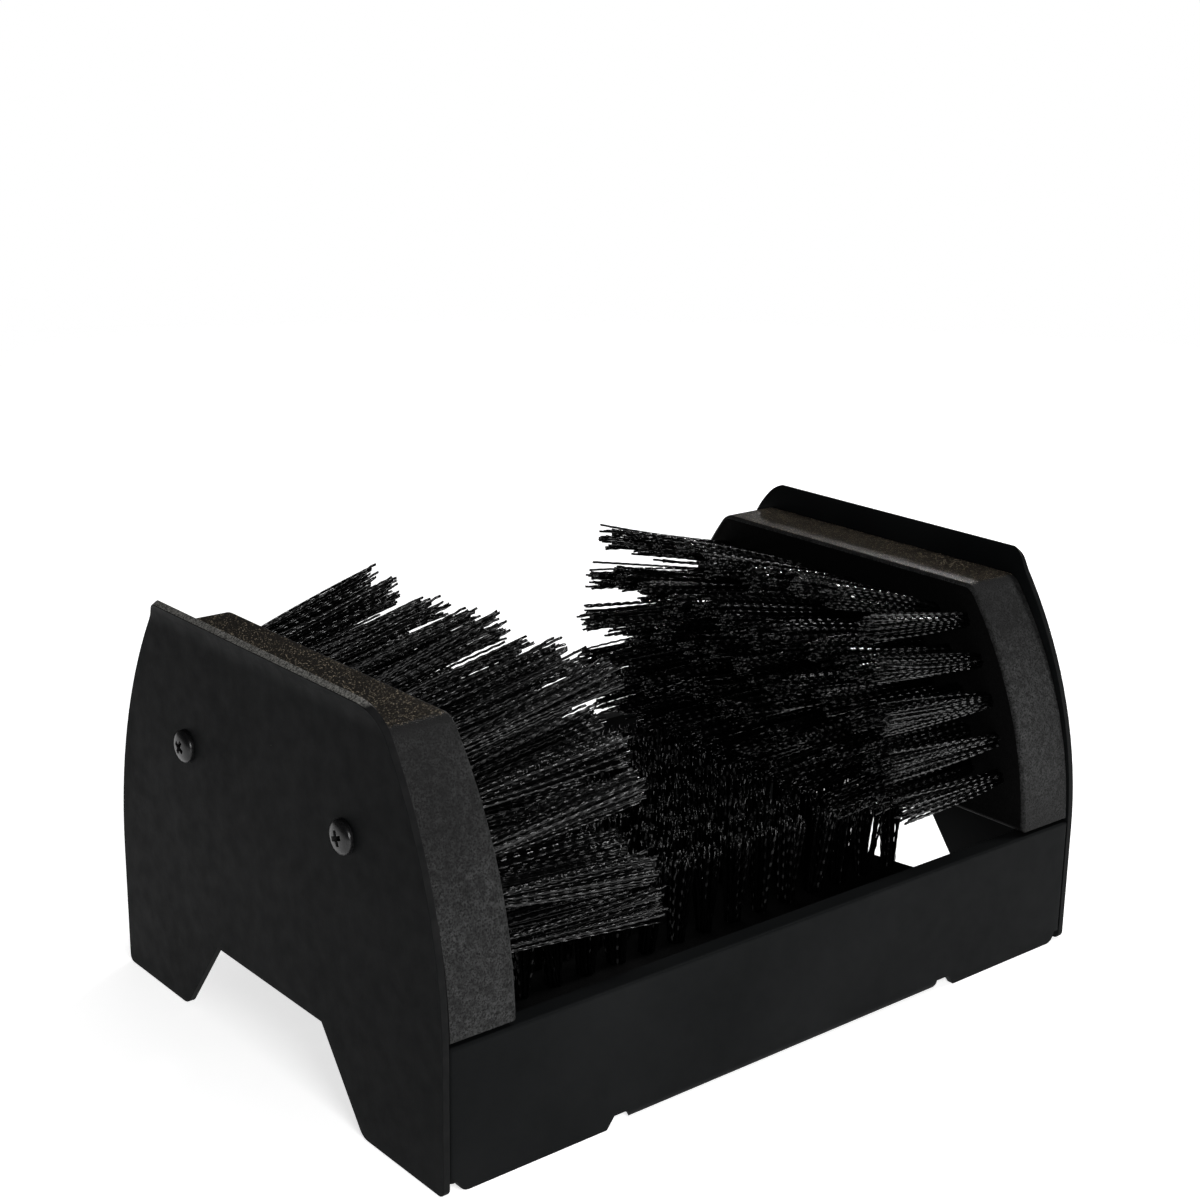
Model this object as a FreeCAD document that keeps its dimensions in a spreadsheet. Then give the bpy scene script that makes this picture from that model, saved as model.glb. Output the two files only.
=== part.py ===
import FreeCAD, Part
import math
import os

import Sketcher

# A three-brush boot scrubber. Two waisted side plates stand on the floor, a folded base channel
# joins them, and each of the three carries a block of board set with tufts of stiff bristle.
# X runs across the width, Y from front to back, Z up. The origin is the middle of the footprint.

SIZES = {
    "frame_width": (290.0, "outer face to outer face of the side plates"),
    "frame_depth": (200.0, "front edge to back edge of a side plate at its feet"),
    "sheet": (2.5, "thickness of all the sheet metal"),
    "plate_height": (147.5, "floor to the top of the curled edge"),
    "plate_side_straight": (45.5, "height where the plate's upright sides start to curve in"),
    "plate_side_radius": (168.0, "radius of the plate's curved sides"),
    "plate_corner_radius": (10.0, "radius of the plate's top corners"),
    "corner_trim": (0.2, "height of the corner arcs' tangent above the plate's edge"),
    "flare_out": (3.0, "how far the top edge curls outward"),
    "flare_radius": (15.0, "radius of the curl on the outer face"),
    "foot_depth": (43.7, "depth of a foot at the floor"),
    "foot_slope": (23.1, "how much a foot's inner edge leans towards the middle"),
    "foot_gap_height": (30.5, "height of the cut-out between the feet"),
    "foot_radius": (2.5, "rounding of the feet"),
    "wall_height": (48.5, "height of the channel's front and rear walls"),
    "wall_corner_radius": (4.0, "radius of the walls' lower corners"),
    "fold_inside": (0.5, "inner radius of the channel's top and end folds"),
    "return_depth": (7.0, "depth of the turned-in top edge, over its fold"),
    "return_relief": (2.0, "length that the top edge is cut short beside the end folds"),
    "flange_depth": (12.0, "depth of the end flanges, over their fold"),
    "strap_width": (140.0, "width of the strap under the base block"),
    "strap_fold_inside": (1.5, "inner radius of the folds between strap and walls"),
    "notch_width": (12.0, "width of the relief notch beside the strap, at the floor"),
    "notch_slope": (3.0, "how much each side of the notch leans in"),
    "block_thickness": (25.4, "thickness of the brush blocks' board"),
    "block_chamfer": (1.2, "eased edge round each block's brush face"),
    "side_block_inset": (0.7, "side block to the front edge of its plate, at the widest"),
    "side_block_radius": (147.5, "radius of a side block's curved sides"),
    "side_block_lift": (1.3, "gap between the channel's walls and the side blocks"),
    "side_block_drop": (9.6, "top of the plate's curl to the top of a side block"),
    "trough_depth": (21.5, "gap between the base block and a wall's inside"),
    "base_block_gap": (22.35, "brush face of a side block to the base block's hollow end"),
    "base_block_radius": (280.0, "radius of the base block's hollow ends"),
    "side_rows_bottom_margin": (18.2, "lowest tuft row to the bottom of a side block"),
    "side_rows_top_margin": (13.9, "highest tuft row to the top of a side block"),
    "side_tuft_pitch": (14.0, "wanted distance between tufts in a side row"),
    "side_tuft_margin": (12.0, "outermost tufts to the curved edge of a side block"),
    "side_tuft_length": (62.0, "length of a side brush's tufts"),
    "side_lift_angle": (9.0, "upward lean of the top row of a side brush, in degrees"),
    "side_splay_angle": (4.5, "outward lean of the end tufts of a side row, in degrees"),
    "base_rows_margin": (22.0, "front and rear tuft rows to the edge of the base block"),
    "base_tuft_pitch": (13.5, "wanted distance between tufts in a base row"),
    "base_tuft_margin": (5.5, "outermost tufts to the hollow end of the base block"),
    "brush_gap": (1.1, "tips of the base brush to the lowest row of the side brushes"),
    "base_splay_angle": (3.0, "outward lean of the outermost base tufts, in degrees"),
    "tuft_root_across": (6.0, "width of a tuft where it leaves its block"),
    "screw_spacing": (98.0, "distance between the two screws of a block"),
    "plate_screw_drop": (37.9, "top of a side block to its screws"),
    "plate_screw_length": (22.0, "length of a plate screw under its head"),
    "screw_diameter": (4.8, "shank diameter of all the screws"),
    "screw_point_length": (4.0, "length of a screw's pointed end"),
    "pan_head_diameter": (12.0, "diameter of a pan head"),
    "pan_head_height": (3.0, "height of a pan head"),
    "pan_head_rim": (1.1, "height of the pan head's upright rim"),
    "pan_head_bevel": (1.9, "width of the pan head's sloping shoulder"),
    "pan_head_crown": (0.5, "rise of the pan head's crown over its shoulder"),
    "countersink_land": (0.3, "straight part of the strap's holes above the countersink"),
    "countersunk_angle": (90.0, "angle of a countersunk head, in degrees"),
    "base_screw_length": (20.0, "length of a base screw over all"),
    "screw_clearance": (0.4, "gap all round a screw in its holes"),
    "overrun": (5.0, "how far a cut reaches past the solid"),
}

SIDE_ROWS = 5
BASE_ROWS = 9
TUFT_CORNERS = 6
TUFT_SPREAD_SHARE = 0.91
TUFT_FLAT_SHARE = math.cos(math.pi / TUFT_CORNERS)
QUARTER_TURN = 90
HALF_TURN = 180
ACROSS = FreeCAD.Vector(1, 0, 0)
BACK = FreeCAD.Vector(0, 1, 0)
UP = FreeCAD.Vector(0, 0, 1)

document = FreeCAD.newDocument("boot_scrubber")
sheet = document.addObject("Spreadsheet::Sheet", "Sizes")
for index, (alias, (size, meaning)) in enumerate(SIZES.items(), start=1):
    sheet.set(f"A{index}", meaning)
    sheet.set(f"B{index}", str(size))
    sheet.setAlias(f"B{index}", alias)
document.recompute()

# Places that several pieces share, as formulas on the sheet.
PLATE_FACE = "(Sizes.frame_width / 2)"
PLATE_INSIDE = f"({PLATE_FACE} - Sizes.sheet)"
HALF_DEPTH = "(Sizes.frame_depth / 2)"
FOLD = "(Sizes.sheet + Sizes.fold_inside)"
STRAP_FOLD = "(Sizes.sheet + Sizes.strap_fold_inside)"
WALL_END = f"({PLATE_INSIDE} - {FOLD})"
FLARE_COSINE = "(1 - Sizes.flare_out / Sizes.flare_radius)"
FLARE_SINE = f"sqrt(1 - {FLARE_COSINE}^2)"
FLARE_START = f"(Sizes.plate_height - (Sizes.flare_radius + Sizes.sheet) * {FLARE_SINE})"
SIDE_BRUSH_FACE = f"({PLATE_INSIDE} - Sizes.block_thickness)"
SIDE_BLOCK_BOTTOM = "(Sizes.wall_height + Sizes.side_block_lift)"
SIDE_BLOCK_TOP = "(Sizes.plate_height - Sizes.side_block_drop)"
SIDE_ROW_BOTTOM = f"({SIDE_BLOCK_BOTTOM} + Sizes.side_rows_bottom_margin)"
SIDE_ROW_TOP = f"({SIDE_BLOCK_TOP} - Sizes.side_rows_top_margin)"
BASE_BRUSH_FACE = "(Sizes.sheet + Sizes.block_thickness)"
BASE_HALF_DEPTH = f"({HALF_DEPTH} - Sizes.sheet - Sizes.trough_depth)"
SCREW_PLACE = "(Sizes.screw_spacing / 2)"
PLATE_SCREW_HEIGHT = f"({SIDE_BLOCK_TOP} - Sizes.plate_screw_drop)"
HOLE_RADIUS = "(Sizes.screw_diameter / 2 + Sizes.screw_clearance)"
COUNTERSINK_DEPTH = "(Sizes.sheet - Sizes.countersink_land)"
COUNTERSUNK_RADIUS = (
    f"(Sizes.screw_diameter / 2 + {COUNTERSINK_DEPTH} * tan(Sizes.countersunk_angle / 2))"
)


def value(formula):
    """Return what a formula on the sheet comes to, in millimetres."""
    return float(sheet.evalExpression(formula.replace("Sizes.", "")))


def side_block_reach(height):
    """Return the formula of a side block's half depth at a height."""
    rise = f"({height} - Sizes.plate_side_straight)"
    fall = f"sqrt(Sizes.side_block_radius^2 - {rise}^2)"
    return f"({HALF_DEPTH} - Sizes.side_block_inset - Sizes.side_block_radius + {fall})"


def base_block_reach(depth):
    """Return the formula of the base block's half width at a distance from its middle."""
    fall = f"sqrt(Sizes.base_block_radius^2 - {depth}^2)"
    return f"({SIDE_BRUSH_FACE} - Sizes.base_block_gap + Sizes.base_block_radius - {fall})"


def add_body(label):
    """Start a sub-part's body."""
    body = document.addObject("PartDesign::Body", label)
    body.Label = label
    return body


def origin_feature(body, role):
    """Return a body's own origin plane or axis."""
    return next(item for item in body.Origin.OriginFeatures if item.Role == role)


def add_sketch(body, name, role, offset=None):
    """Attach a sketch to a plane of its body, moved along its normal by a formula."""
    sketch = body.newObject("Sketcher::SketchObject", name)
    sketch.AttachmentSupport = [(origin_feature(body, role), "")]
    sketch.MapMode = "FlatFace"
    if offset is not None:
        sketch.setExpression("AttachmentOffset.Base.z", offset)
    return sketch


def bind_point(sketch, geometry, position, across, up):
    """Hold one end of a sketched line or curve at two formulas."""
    sides = (("DistanceX", across, -2), ("DistanceY", up, -1))
    for kind, formula, axis in sides:
        if formula == "0":
            sketch.addConstraint(Sketcher.Constraint("PointOnObject", geometry, position, axis))
            continue
        held = Sketcher.Constraint(kind, -1, 1, geometry, position, value(formula))
        index = sketch.addConstraint(held)
        sketch.setExpression(f"Constraints[{index}]", formula)


def bind_radius(sketch, geometry, formula):
    """Hold the radius of a sketched arc or circle at a formula."""
    index = sketch.addConstraint(Sketcher.Constraint("Radius", geometry, value(formula)))
    sketch.setExpression(f"Constraints[{index}]", formula)


def draw_circle(sketch, across, up, radius):
    """Draw a circle about a point."""
    centre = FreeCAD.Vector(value(across), value(up), 0)
    circle = Part.Circle(centre, UP, value(radius))
    geometry = sketch.addGeometry(circle)
    bind_point(sketch, geometry, 3, across, up)
    bind_radius(sketch, geometry, radius)


def draw_arc(sketch, start, end, radius, turn):
    """Draw the short arc between two points; a turn of 1 curves left and of -1 right."""
    half = (end - start) / 2
    normal = FreeCAD.Vector(-half.y, half.x, 0).normalize()
    size = value(radius)
    centre = start + half + normal * turn * math.sqrt(size**2 - half.Length**2)
    first, last = (start, end) if turn > 0 else (end, start)
    angles = [math.atan2(point.y - centre.y, point.x - centre.x) for point in (first, last)]
    circle = Part.Circle(centre, UP, size)
    geometry = sketch.addGeometry(Part.ArcOfCircle(circle, *angles))
    bind_radius(sketch, geometry, radius)
    return (geometry, 1, 2) if turn > 0 else (geometry, 2, 1)


def draw_outline(sketch, corners, arcs=None):
    """Draw a closed outline.

    The corners are pairs of formulas. An entry of arcs gives the side that starts at that
    corner a radius and a turn; all other sides are straight.
    """
    arcs = arcs or {}
    points = [FreeCAD.Vector(value(across), value(up), 0) for across, up in corners]
    sides = []
    for index, start in enumerate(points):
        end = points[(index + 1) % len(points)]
        if index in arcs:
            sides.append(draw_arc(sketch, start, end, *arcs[index]))
        else:
            sides.append((sketch.addGeometry(Part.LineSegment(start, end)), 1, 2))
    for index, (across, up) in enumerate(corners):
        geometry, first, _ = sides[index]
        before, _, last = sides[index - 1]
        joined = Sketcher.Constraint("Coincident", before, last, geometry, first)
        sketch.addConstraint(joined)
        bind_point(sketch, geometry, first, across, up)


def add_pad(body, sketch, name, length, midplane=False, backward=False):
    """Extrude a sketch by a formula."""
    pad = body.newObject("PartDesign::Pad", name)
    pad.Profile = sketch
    pad.setExpression("Length", length)
    pad.Midplane = midplane
    pad.Reversed = backward
    document.recompute()
    return pad


def add_cut(body, sketch, name, depth=None, backward=False):
    """Cut a sketch out of a body, right through it or to a formula's depth."""
    before = body.Shape.Volume
    pocket = body.newObject("PartDesign::Pocket", name)
    pocket.Profile = sketch
    if depth is None:
        pocket.Type = "ThroughAll"
        pocket.Midplane = True
    else:
        pocket.setExpression("Length", depth)
    pocket.Reversed = backward
    document.recompute()
    if body.Shape.Volume >= before:
        raise RuntimeError(f"{body.Label}: {name} cuts nothing")
    return pocket


def dress_edges(body, kind, name, size, wanted):
    """Fillet or chamfer the body's edges that a test accepts."""
    base = body.Tip
    chosen = [
        f"Edge{number}"
        for number, edge in enumerate(base.Shape.Edges, start=1)
        if wanted(edge)
    ]
    dressing = body.newObject(kind, name)
    dressing.Base = (base, chosen)
    dressing.setExpression("Radius" if kind.endswith("Fillet") else "Size", size)
    document.recompute()
    return dressing


def mirrored(sign, formula):
    """Return a formula with a sign put before it."""
    return formula if sign > 0 else f"(-{formula})"


def add_side_plate(label, half_turn):
    """Make a side plate: a sheet with a curled top, trimmed to its waisted outline."""
    body = add_body(label)
    curl_centre = f"(-{PLATE_FACE} - Sizes.flare_radius)"
    inner_curl = "(Sizes.flare_radius + Sizes.sheet)"
    profile = add_sketch(body, f"{label}_profile", "XZ_Plane")
    draw_outline(
        profile,
        [
            (f"(-{PLATE_FACE})", "0"),
            (f"(-{PLATE_INSIDE})", "0"),
            (f"(-{PLATE_INSIDE})", FLARE_START),
            (f"({curl_centre} + {inner_curl} * {FLARE_COSINE})", "Sizes.plate_height"),
            (f"(-{PLATE_FACE} - Sizes.flare_out)", f"({FLARE_START} + Sizes.flare_radius * {FLARE_SINE})"),
            (f"(-{PLATE_FACE})", FLARE_START),
        ],
        {2: (inner_curl, 1), 4: ("Sizes.flare_radius", -1)},
    )
    add_pad(body, profile, f"{label}_sheet", "Sizes.frame_depth", midplane=True)

    # The side arc and the corner arc meet on the line through their centres.
    trim_top = "(Sizes.plate_height + Sizes.corner_trim)"
    corner_height = f"({trim_top} - Sizes.plate_corner_radius)"
    centre_gap = "(Sizes.plate_side_radius - Sizes.plate_corner_radius)"
    side_centre = f"({HALF_DEPTH} - Sizes.plate_side_radius)"
    corner_rise = f"({corner_height} - Sizes.plate_side_straight)"
    corner_run = f"sqrt({centre_gap}^2 - {corner_rise}^2)"
    corner_centre = f"({side_centre} + {corner_run})"
    meeting_share = f"(Sizes.plate_side_radius / {centre_gap})"
    meeting_across = f"({side_centre} + {corner_run} * {meeting_share})"
    meeting_height = f"(Sizes.plate_side_straight + {corner_rise} * {meeting_share})"
    foot_inside = f"({HALF_DEPTH} - Sizes.foot_depth)"
    gap_top = f"({foot_inside} - Sizes.foot_slope)"
    right_side = [
        (foot_inside, "0"),
        (HALF_DEPTH, "0"),
        (HALF_DEPTH, "Sizes.plate_side_straight"),
        (meeting_across, meeting_height),
        (corner_centre, trim_top),
    ]
    left_side = [(mirrored(-1, across), up) for across, up in reversed(right_side)]
    cut_out = [
        (f"(-{gap_top})", "Sizes.foot_gap_height"),
        (gap_top, "Sizes.foot_gap_height"),
    ]
    trim = add_sketch(body, f"{label}_outline", "YZ_Plane")
    draw_outline(
        trim,
        right_side + left_side + cut_out,
        {
            2: ("Sizes.plate_side_radius", 1),
            3: ("Sizes.plate_corner_radius", 1),
            5: ("Sizes.plate_corner_radius", 1),
            6: ("Sizes.plate_side_radius", 1),
        },
    )
    edge = f"({HALF_DEPTH} + Sizes.overrun)"
    above = f"({trim_top} + Sizes.overrun)"
    draw_outline(
        trim,
        [(f"(-{edge})", "(-Sizes.overrun)"), (edge, "(-Sizes.overrun)"), (edge, above), (f"(-{edge})", above)],
    )
    add_cut(body, trim, f"{label}_trim")

    holes = add_sketch(body, f"{label}_hole_places", "YZ_Plane")
    for sign in (-1, 1):
        draw_circle(holes, mirrored(sign, SCREW_PLACE), PLATE_SCREW_HEIGHT, HOLE_RADIUS)
    add_cut(body, holes, f"{label}_holes")

    dress_edges(
        body,
        "PartDesign::Fillet",
        f"{label}_feet",
        "Sizes.foot_radius",
        lambda edge: edge.BoundBox.ZMax < value("Sizes.corner_trim")
        and edge.BoundBox.YLength < value("Sizes.corner_trim"),
    )
    body.Placement.Rotation = FreeCAD.Rotation(UP, half_turn)
    return body


def add_base_channel(label):
    """Make the folded channel: strap, two walls with turned-in tops, and their end flanges."""
    body = add_body(label)
    inner_fold = "Sizes.strap_fold_inside"
    half_inside = f"({HALF_DEPTH} - Sizes.sheet)"
    half_flat = f"({HALF_DEPTH} - {STRAP_FOLD})"
    strap_profile = add_sketch(body, "strap_profile", "YZ_Plane")
    draw_outline(
        strap_profile,
        [
            (f"(-{HALF_DEPTH})", STRAP_FOLD),
            (f"(-{half_flat})", "0"),
            (half_flat, "0"),
            (HALF_DEPTH, STRAP_FOLD),
            (half_inside, STRAP_FOLD),
            (half_flat, "Sizes.sheet"),
            (f"(-{half_flat})", "Sizes.sheet"),
            (f"(-{half_inside})", STRAP_FOLD),
        ],
        {0: (STRAP_FOLD, 1), 2: (STRAP_FOLD, 1), 4: (inner_fold, -1), 6: (inner_fold, -1)},
    )
    shoulder = "(Sizes.strap_width / 2 + Sizes.notch_slope)"
    add_pad(body, strap_profile, "strap", f"2 * {shoulder}", midplane=True)

    # The strap is as wide as the wall's tongue in the folds and narrows over their length.
    strap_sides = add_sketch(body, "strap_sides", "XY_Plane")
    past = f"({HALF_DEPTH} + Sizes.overrun)"
    for sign in (-1, 1):
        strap_edge = mirrored(sign, "(Sizes.strap_width / 2)")
        tongue_edge = mirrored(sign, shoulder)
        clear_edge = mirrored(sign, f"({shoulder} + Sizes.overrun)")
        draw_outline(
            strap_sides,
            [
                (clear_edge, f"(-{past})"),
                (tongue_edge, f"(-{past})"),
                (tongue_edge, f"(-{HALF_DEPTH})"),
                (strap_edge, f"(-{half_flat})"),
                (strap_edge, half_flat),
                (tongue_edge, HALF_DEPTH),
                (tongue_edge, past),
                (clear_edge, past),
            ],
        )
    add_cut(body, strap_sides, "strap_trim")

    notch_top = "(Sizes.strap_width / 2 + Sizes.notch_width - Sizes.notch_slope)"
    notch_bottom = "(Sizes.strap_width / 2 + Sizes.notch_width)"
    corner = "Sizes.wall_corner_radius"
    wall_top = f"(Sizes.wall_height - {FOLD})"
    right_side = [
        (notch_top, STRAP_FOLD),
        (notch_bottom, "0"),
        (f"({WALL_END} - {corner})", "0"),
        (WALL_END, corner),
        (WALL_END, wall_top),
    ]
    left_side = [(mirrored(-1, across), up) for across, up in reversed(right_side)]
    wall_outline = add_sketch(body, "wall_outline", "XZ_Plane", HALF_DEPTH)
    draw_outline(wall_outline, right_side + left_side, {2: (corner, 1), 6: (corner, 1)})
    wall = add_pad(body, wall_outline, "front_wall", "Sizes.sheet", backward=True)

    fold_depth = f"({HALF_DEPTH} - {FOLD})"
    return_edge = f"({HALF_DEPTH} - Sizes.return_depth)"
    return_profile = add_sketch(body, "return_profile", "YZ_Plane")
    draw_outline(
        return_profile,
        [
            (f"(-{HALF_DEPTH})", wall_top),
            (f"(-{fold_depth})", "Sizes.wall_height"),
            (f"(-{return_edge})", "Sizes.wall_height"),
            (f"(-{return_edge})", "(Sizes.wall_height - Sizes.sheet)"),
            (f"(-{fold_depth})", "(Sizes.wall_height - Sizes.sheet)"),
            (f"(-{half_inside})", wall_top),
        ],
        {0: (FOLD, -1), 4: ("Sizes.fold_inside", 1)},
    )
    return_length = f"2 * ({WALL_END} - Sizes.return_relief)"
    top_edge = add_pad(body, return_profile, "front_return", return_length, midplane=True)

    flange_profile = add_sketch(body, "flange_profile", "XY_Plane", corner)
    flange_inside = f"({PLATE_INSIDE} - Sizes.sheet)"
    flange_edge = f"(-{HALF_DEPTH} + Sizes.flange_depth)"
    for sign in (-1, 1):
        draw_outline(
            flange_profile,
            [
                (mirrored(sign, WALL_END), f"(-{HALF_DEPTH})"),
                (mirrored(sign, PLATE_INSIDE), f"(-{fold_depth})"),
                (mirrored(sign, PLATE_INSIDE), flange_edge),
                (mirrored(sign, flange_inside), flange_edge),
                (mirrored(sign, flange_inside), f"(-{fold_depth})"),
                (mirrored(sign, WALL_END), f"(-{half_inside})"),
            ],
            {0: (FOLD, sign), 4: ("Sizes.fold_inside", -sign)},
        )
    flanges = add_pad(body, flange_profile, "front_flanges", f"({wall_top} - {corner})")

    rear = body.newObject("PartDesign::Mirrored", "rear_half")
    rear.Originals = [wall, top_edge, flanges]
    rear.MirrorPlane = (origin_feature(body, "XZ_Plane"), [""])
    body.Tip = rear
    document.recompute()

    before = body.Shape.Volume
    hole_places = add_sketch(body, "strap_hole_places", "XY_Plane")
    for sign in (-1, 1):
        draw_circle(hole_places, mirrored(sign, SCREW_PLACE), "0", HOLE_RADIUS)
    holes = body.newObject("PartDesign::Hole", "strap_holes")
    holes.Profile = hole_places
    holes.Reversed = True
    document.recompute()
    holes.DepthType = "ThroughAll"
    holes.setExpression("Diameter", f"2 * {HOLE_RADIUS}")
    holes.HoleCutType = "Countersink"
    holes.setExpression("HoleCutDiameter", f"2 * ({COUNTERSUNK_RADIUS} + Sizes.screw_clearance)")
    holes.setExpression("HoleCutCountersinkAngle", "Sizes.countersunk_angle")
    document.recompute()
    if body.Shape.Volume >= before:
        raise RuntimeError("base_channel: the screw holes cut nothing")
    return body


def add_side_block(label, half_turn):
    """Make a side brush block, flat on the inside of its plate."""
    body = add_body(label)
    bottom_reach = side_block_reach(SIDE_BLOCK_BOTTOM)
    top_reach = side_block_reach(SIDE_BLOCK_TOP)
    outline = add_sketch(body, f"{label}_outline", "YZ_Plane", f"(-{PLATE_INSIDE})")
    draw_outline(
        outline,
        [
            (f"(-{bottom_reach})", SIDE_BLOCK_BOTTOM),
            (bottom_reach, SIDE_BLOCK_BOTTOM),
            (top_reach, SIDE_BLOCK_TOP),
            (f"(-{top_reach})", SIDE_BLOCK_TOP),
        ],
        {1: ("Sizes.side_block_radius", 1), 3: ("Sizes.side_block_radius", 1)},
    )
    add_pad(body, outline, f"{label}_board", "Sizes.block_thickness")
    brush_face = -value(SIDE_BRUSH_FACE)
    dress_edges(
        body,
        "PartDesign::Chamfer",
        f"{label}_eased_edges",
        "Sizes.block_chamfer",
        lambda edge: edge.BoundBox.XMin > brush_face - value("Sizes.block_chamfer"),
    )
    holes = add_sketch(body, f"{label}_hole_places", "YZ_Plane", f"(-{PLATE_INSIDE})")
    for sign in (-1, 1):
        draw_circle(holes, mirrored(sign, SCREW_PLACE), PLATE_SCREW_HEIGHT, HOLE_RADIUS)
    depth = "(Sizes.plate_screw_length - Sizes.sheet + Sizes.screw_clearance)"
    add_cut(body, holes, f"{label}_pilot_holes", depth, backward=True)
    body.Placement.Rotation = FreeCAD.Rotation(UP, half_turn)
    return body


def add_base_block(label):
    """Make the base brush block, which lies on the strap and has hollow ends."""
    body = add_body(label)
    half_width = base_block_reach(BASE_HALF_DEPTH)
    outline = add_sketch(body, f"{label}_outline", "XY_Plane", "Sizes.sheet")
    draw_outline(
        outline,
        [
            (f"(-{half_width})", f"(-{BASE_HALF_DEPTH})"),
            (half_width, f"(-{BASE_HALF_DEPTH})"),
            (half_width, BASE_HALF_DEPTH),
            (f"(-{half_width})", BASE_HALF_DEPTH),
        ],
        {1: ("Sizes.base_block_radius", -1), 3: ("Sizes.base_block_radius", -1)},
    )
    add_pad(body, outline, f"{label}_board", "Sizes.block_thickness")
    brush_face = value(BASE_BRUSH_FACE)
    dress_edges(
        body,
        "PartDesign::Chamfer",
        f"{label}_eased_edges",
        "Sizes.block_chamfer",
        lambda edge: edge.BoundBox.ZMin > brush_face - value("Sizes.block_chamfer"),
    )
    holes = add_sketch(body, f"{label}_hole_places", "XY_Plane", "Sizes.sheet")
    for sign in (-1, 1):
        draw_circle(holes, mirrored(sign, SCREW_PLACE), "0", HOLE_RADIUS)
    depth = "(Sizes.base_screw_length - Sizes.sheet + Sizes.screw_clearance)"
    add_cut(body, holes, f"{label}_pilot_holes", depth, backward=True)
    return body


def add_screw_pair(label, outline, direction):
    """Turn a screw about its axis and repeat it along a direction at the screw spacing."""
    body = add_body(label)
    profile = add_sketch(body, f"{label}_profile", "XZ_Plane")
    draw_outline(profile, outline)
    screw = body.newObject("PartDesign::Revolution", f"{label}_turned")
    screw.Profile = profile
    screw.ReferenceAxis = (profile, ["V_Axis"])
    document.recompute()
    pair = body.newObject("PartDesign::LinearPattern", f"{label}_pair")
    pair.Originals = [screw]
    pair.Direction = (origin_feature(body, direction), [""])
    pair.setExpression("Length", "Sizes.screw_spacing")
    pair.Occurrences = 2
    body.Tip = pair
    document.recompute()
    return body


def screw_shank(length):
    """Return the outline of a screw's shank from its point up to its head's underside."""
    radius = "(Sizes.screw_diameter / 2)"
    return [
        ("0", f"(-{length})"),
        (radius, f"(-({length} - Sizes.screw_point_length))"),
    ]


def add_plate_screws(label, sign, quarter_turn):
    """Make the two pan-head screws that hold a side block to its plate."""
    head = "(Sizes.pan_head_diameter / 2)"
    outline = screw_shank("Sizes.plate_screw_length") + [
        ("(Sizes.screw_diameter / 2)", "0"),
        (head, "0"),
        (head, "Sizes.pan_head_rim"),
        (f"({head} - Sizes.pan_head_bevel)", "(Sizes.pan_head_height - Sizes.pan_head_crown)"),
        ("0", "Sizes.pan_head_height"),
    ]
    body = add_screw_pair(label, outline, "Y_Axis")
    body.Placement.Rotation = FreeCAD.Rotation(BACK, quarter_turn)
    body.setExpression("Placement.Base.x", mirrored(sign, PLATE_FACE))
    body.setExpression("Placement.Base.y", f"-{SCREW_PLACE}")
    body.setExpression("Placement.Base.z", PLATE_SCREW_HEIGHT)
    return body


def add_base_screws(label, half_turn):
    """Make the two countersunk screws that hold the base block, from under the strap."""
    outline = screw_shank("Sizes.base_screw_length") + [
        ("(Sizes.screw_diameter / 2)", f"(-{COUNTERSINK_DEPTH})"),
        (COUNTERSUNK_RADIUS, "0"),
        ("0", "0"),
    ]
    body = add_screw_pair(label, outline, "X_Axis")
    body.Placement.Rotation = FreeCAD.Rotation(BACK, half_turn)
    body.setExpression("Placement.Base.x", SCREW_PLACE)
    return body


def hexagon(centre, reach, axes):
    """Return six corners round a centre, given how far they reach along two axes."""
    corners = []
    for index in range(TUFT_CORNERS):
        angle = 2 * math.pi * index / TUFT_CORNERS
        along = axes[0] * reach[0] * math.cos(angle)
        corners.append(centre + along + axes[1] * reach[1] * math.sin(angle))
    return corners


def flat_face(corners):
    """Return the flat face inside some corners."""
    return Part.Face(Part.makePolygon([*corners, corners[0]]))


def make_tuft(place, lean, length, spread, axes):
    """Make one tuft from its root on a block's face to its wider, leaning tip.

    The axes point along the row, across it and out of the block. The place is the root's distance
    along the row. The lean holds the tuft's angles in degrees, and the spread its tip's reach,
    along the row and across it.
    """
    centre = axes[0] * place
    shift = [math.tan(math.radians(angle)) * length for angle in lean]
    end = centre + axes[2] * length + axes[0] * shift[0] + axes[1] * shift[1]
    root_reach = value("Sizes.tuft_root_across") / (2 * TUFT_FLAT_SHARE)
    root = hexagon(centre, (root_reach, root_reach), axes)
    tip = hexagon(end, spread, axes)
    flanks = []
    for index in range(TUFT_CORNERS):
        lower = [root[index - 1], root[index], tip[index]]
        upper = [root[index - 1], tip[index], tip[index - 1]]
        flanks += [flat_face(lower), flat_face(upper)]
    return Part.makeSolid(Part.makeShell([flat_face(root), flat_face(tip), *flanks]))


def even_places(reach, count):
    """Return a number of evenly spaced places from -reach to reach."""
    return [reach * (2 * index / (count - 1) - 1) for index in range(count)]


def tuft_places(reach, pitch):
    """Return the places of a row's tufts, as near to a pitch as they divide its length."""
    return even_places(reach, max(1, round(2 * reach / pitch)) + 1)


def tip_spread(places, row_places):
    """Return how far a row's tuft tips reach: they just clear their neighbours."""
    gaps = (places[1] - places[0], row_places[1] - row_places[0])
    return [gap * TUFT_SPREAD_SHARE / 2 for gap in gaps]


def add_row(label, tufts, corner, turn=0):
    """Put a row's tufts in place as one sub-part of separate solids."""
    row = document.addObject("Part::Feature", label)
    row.Shape = Part.makeCompound(tufts)
    row.Placement = FreeCAD.Placement(corner, FreeCAD.Rotation(UP, turn))
    return row


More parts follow.
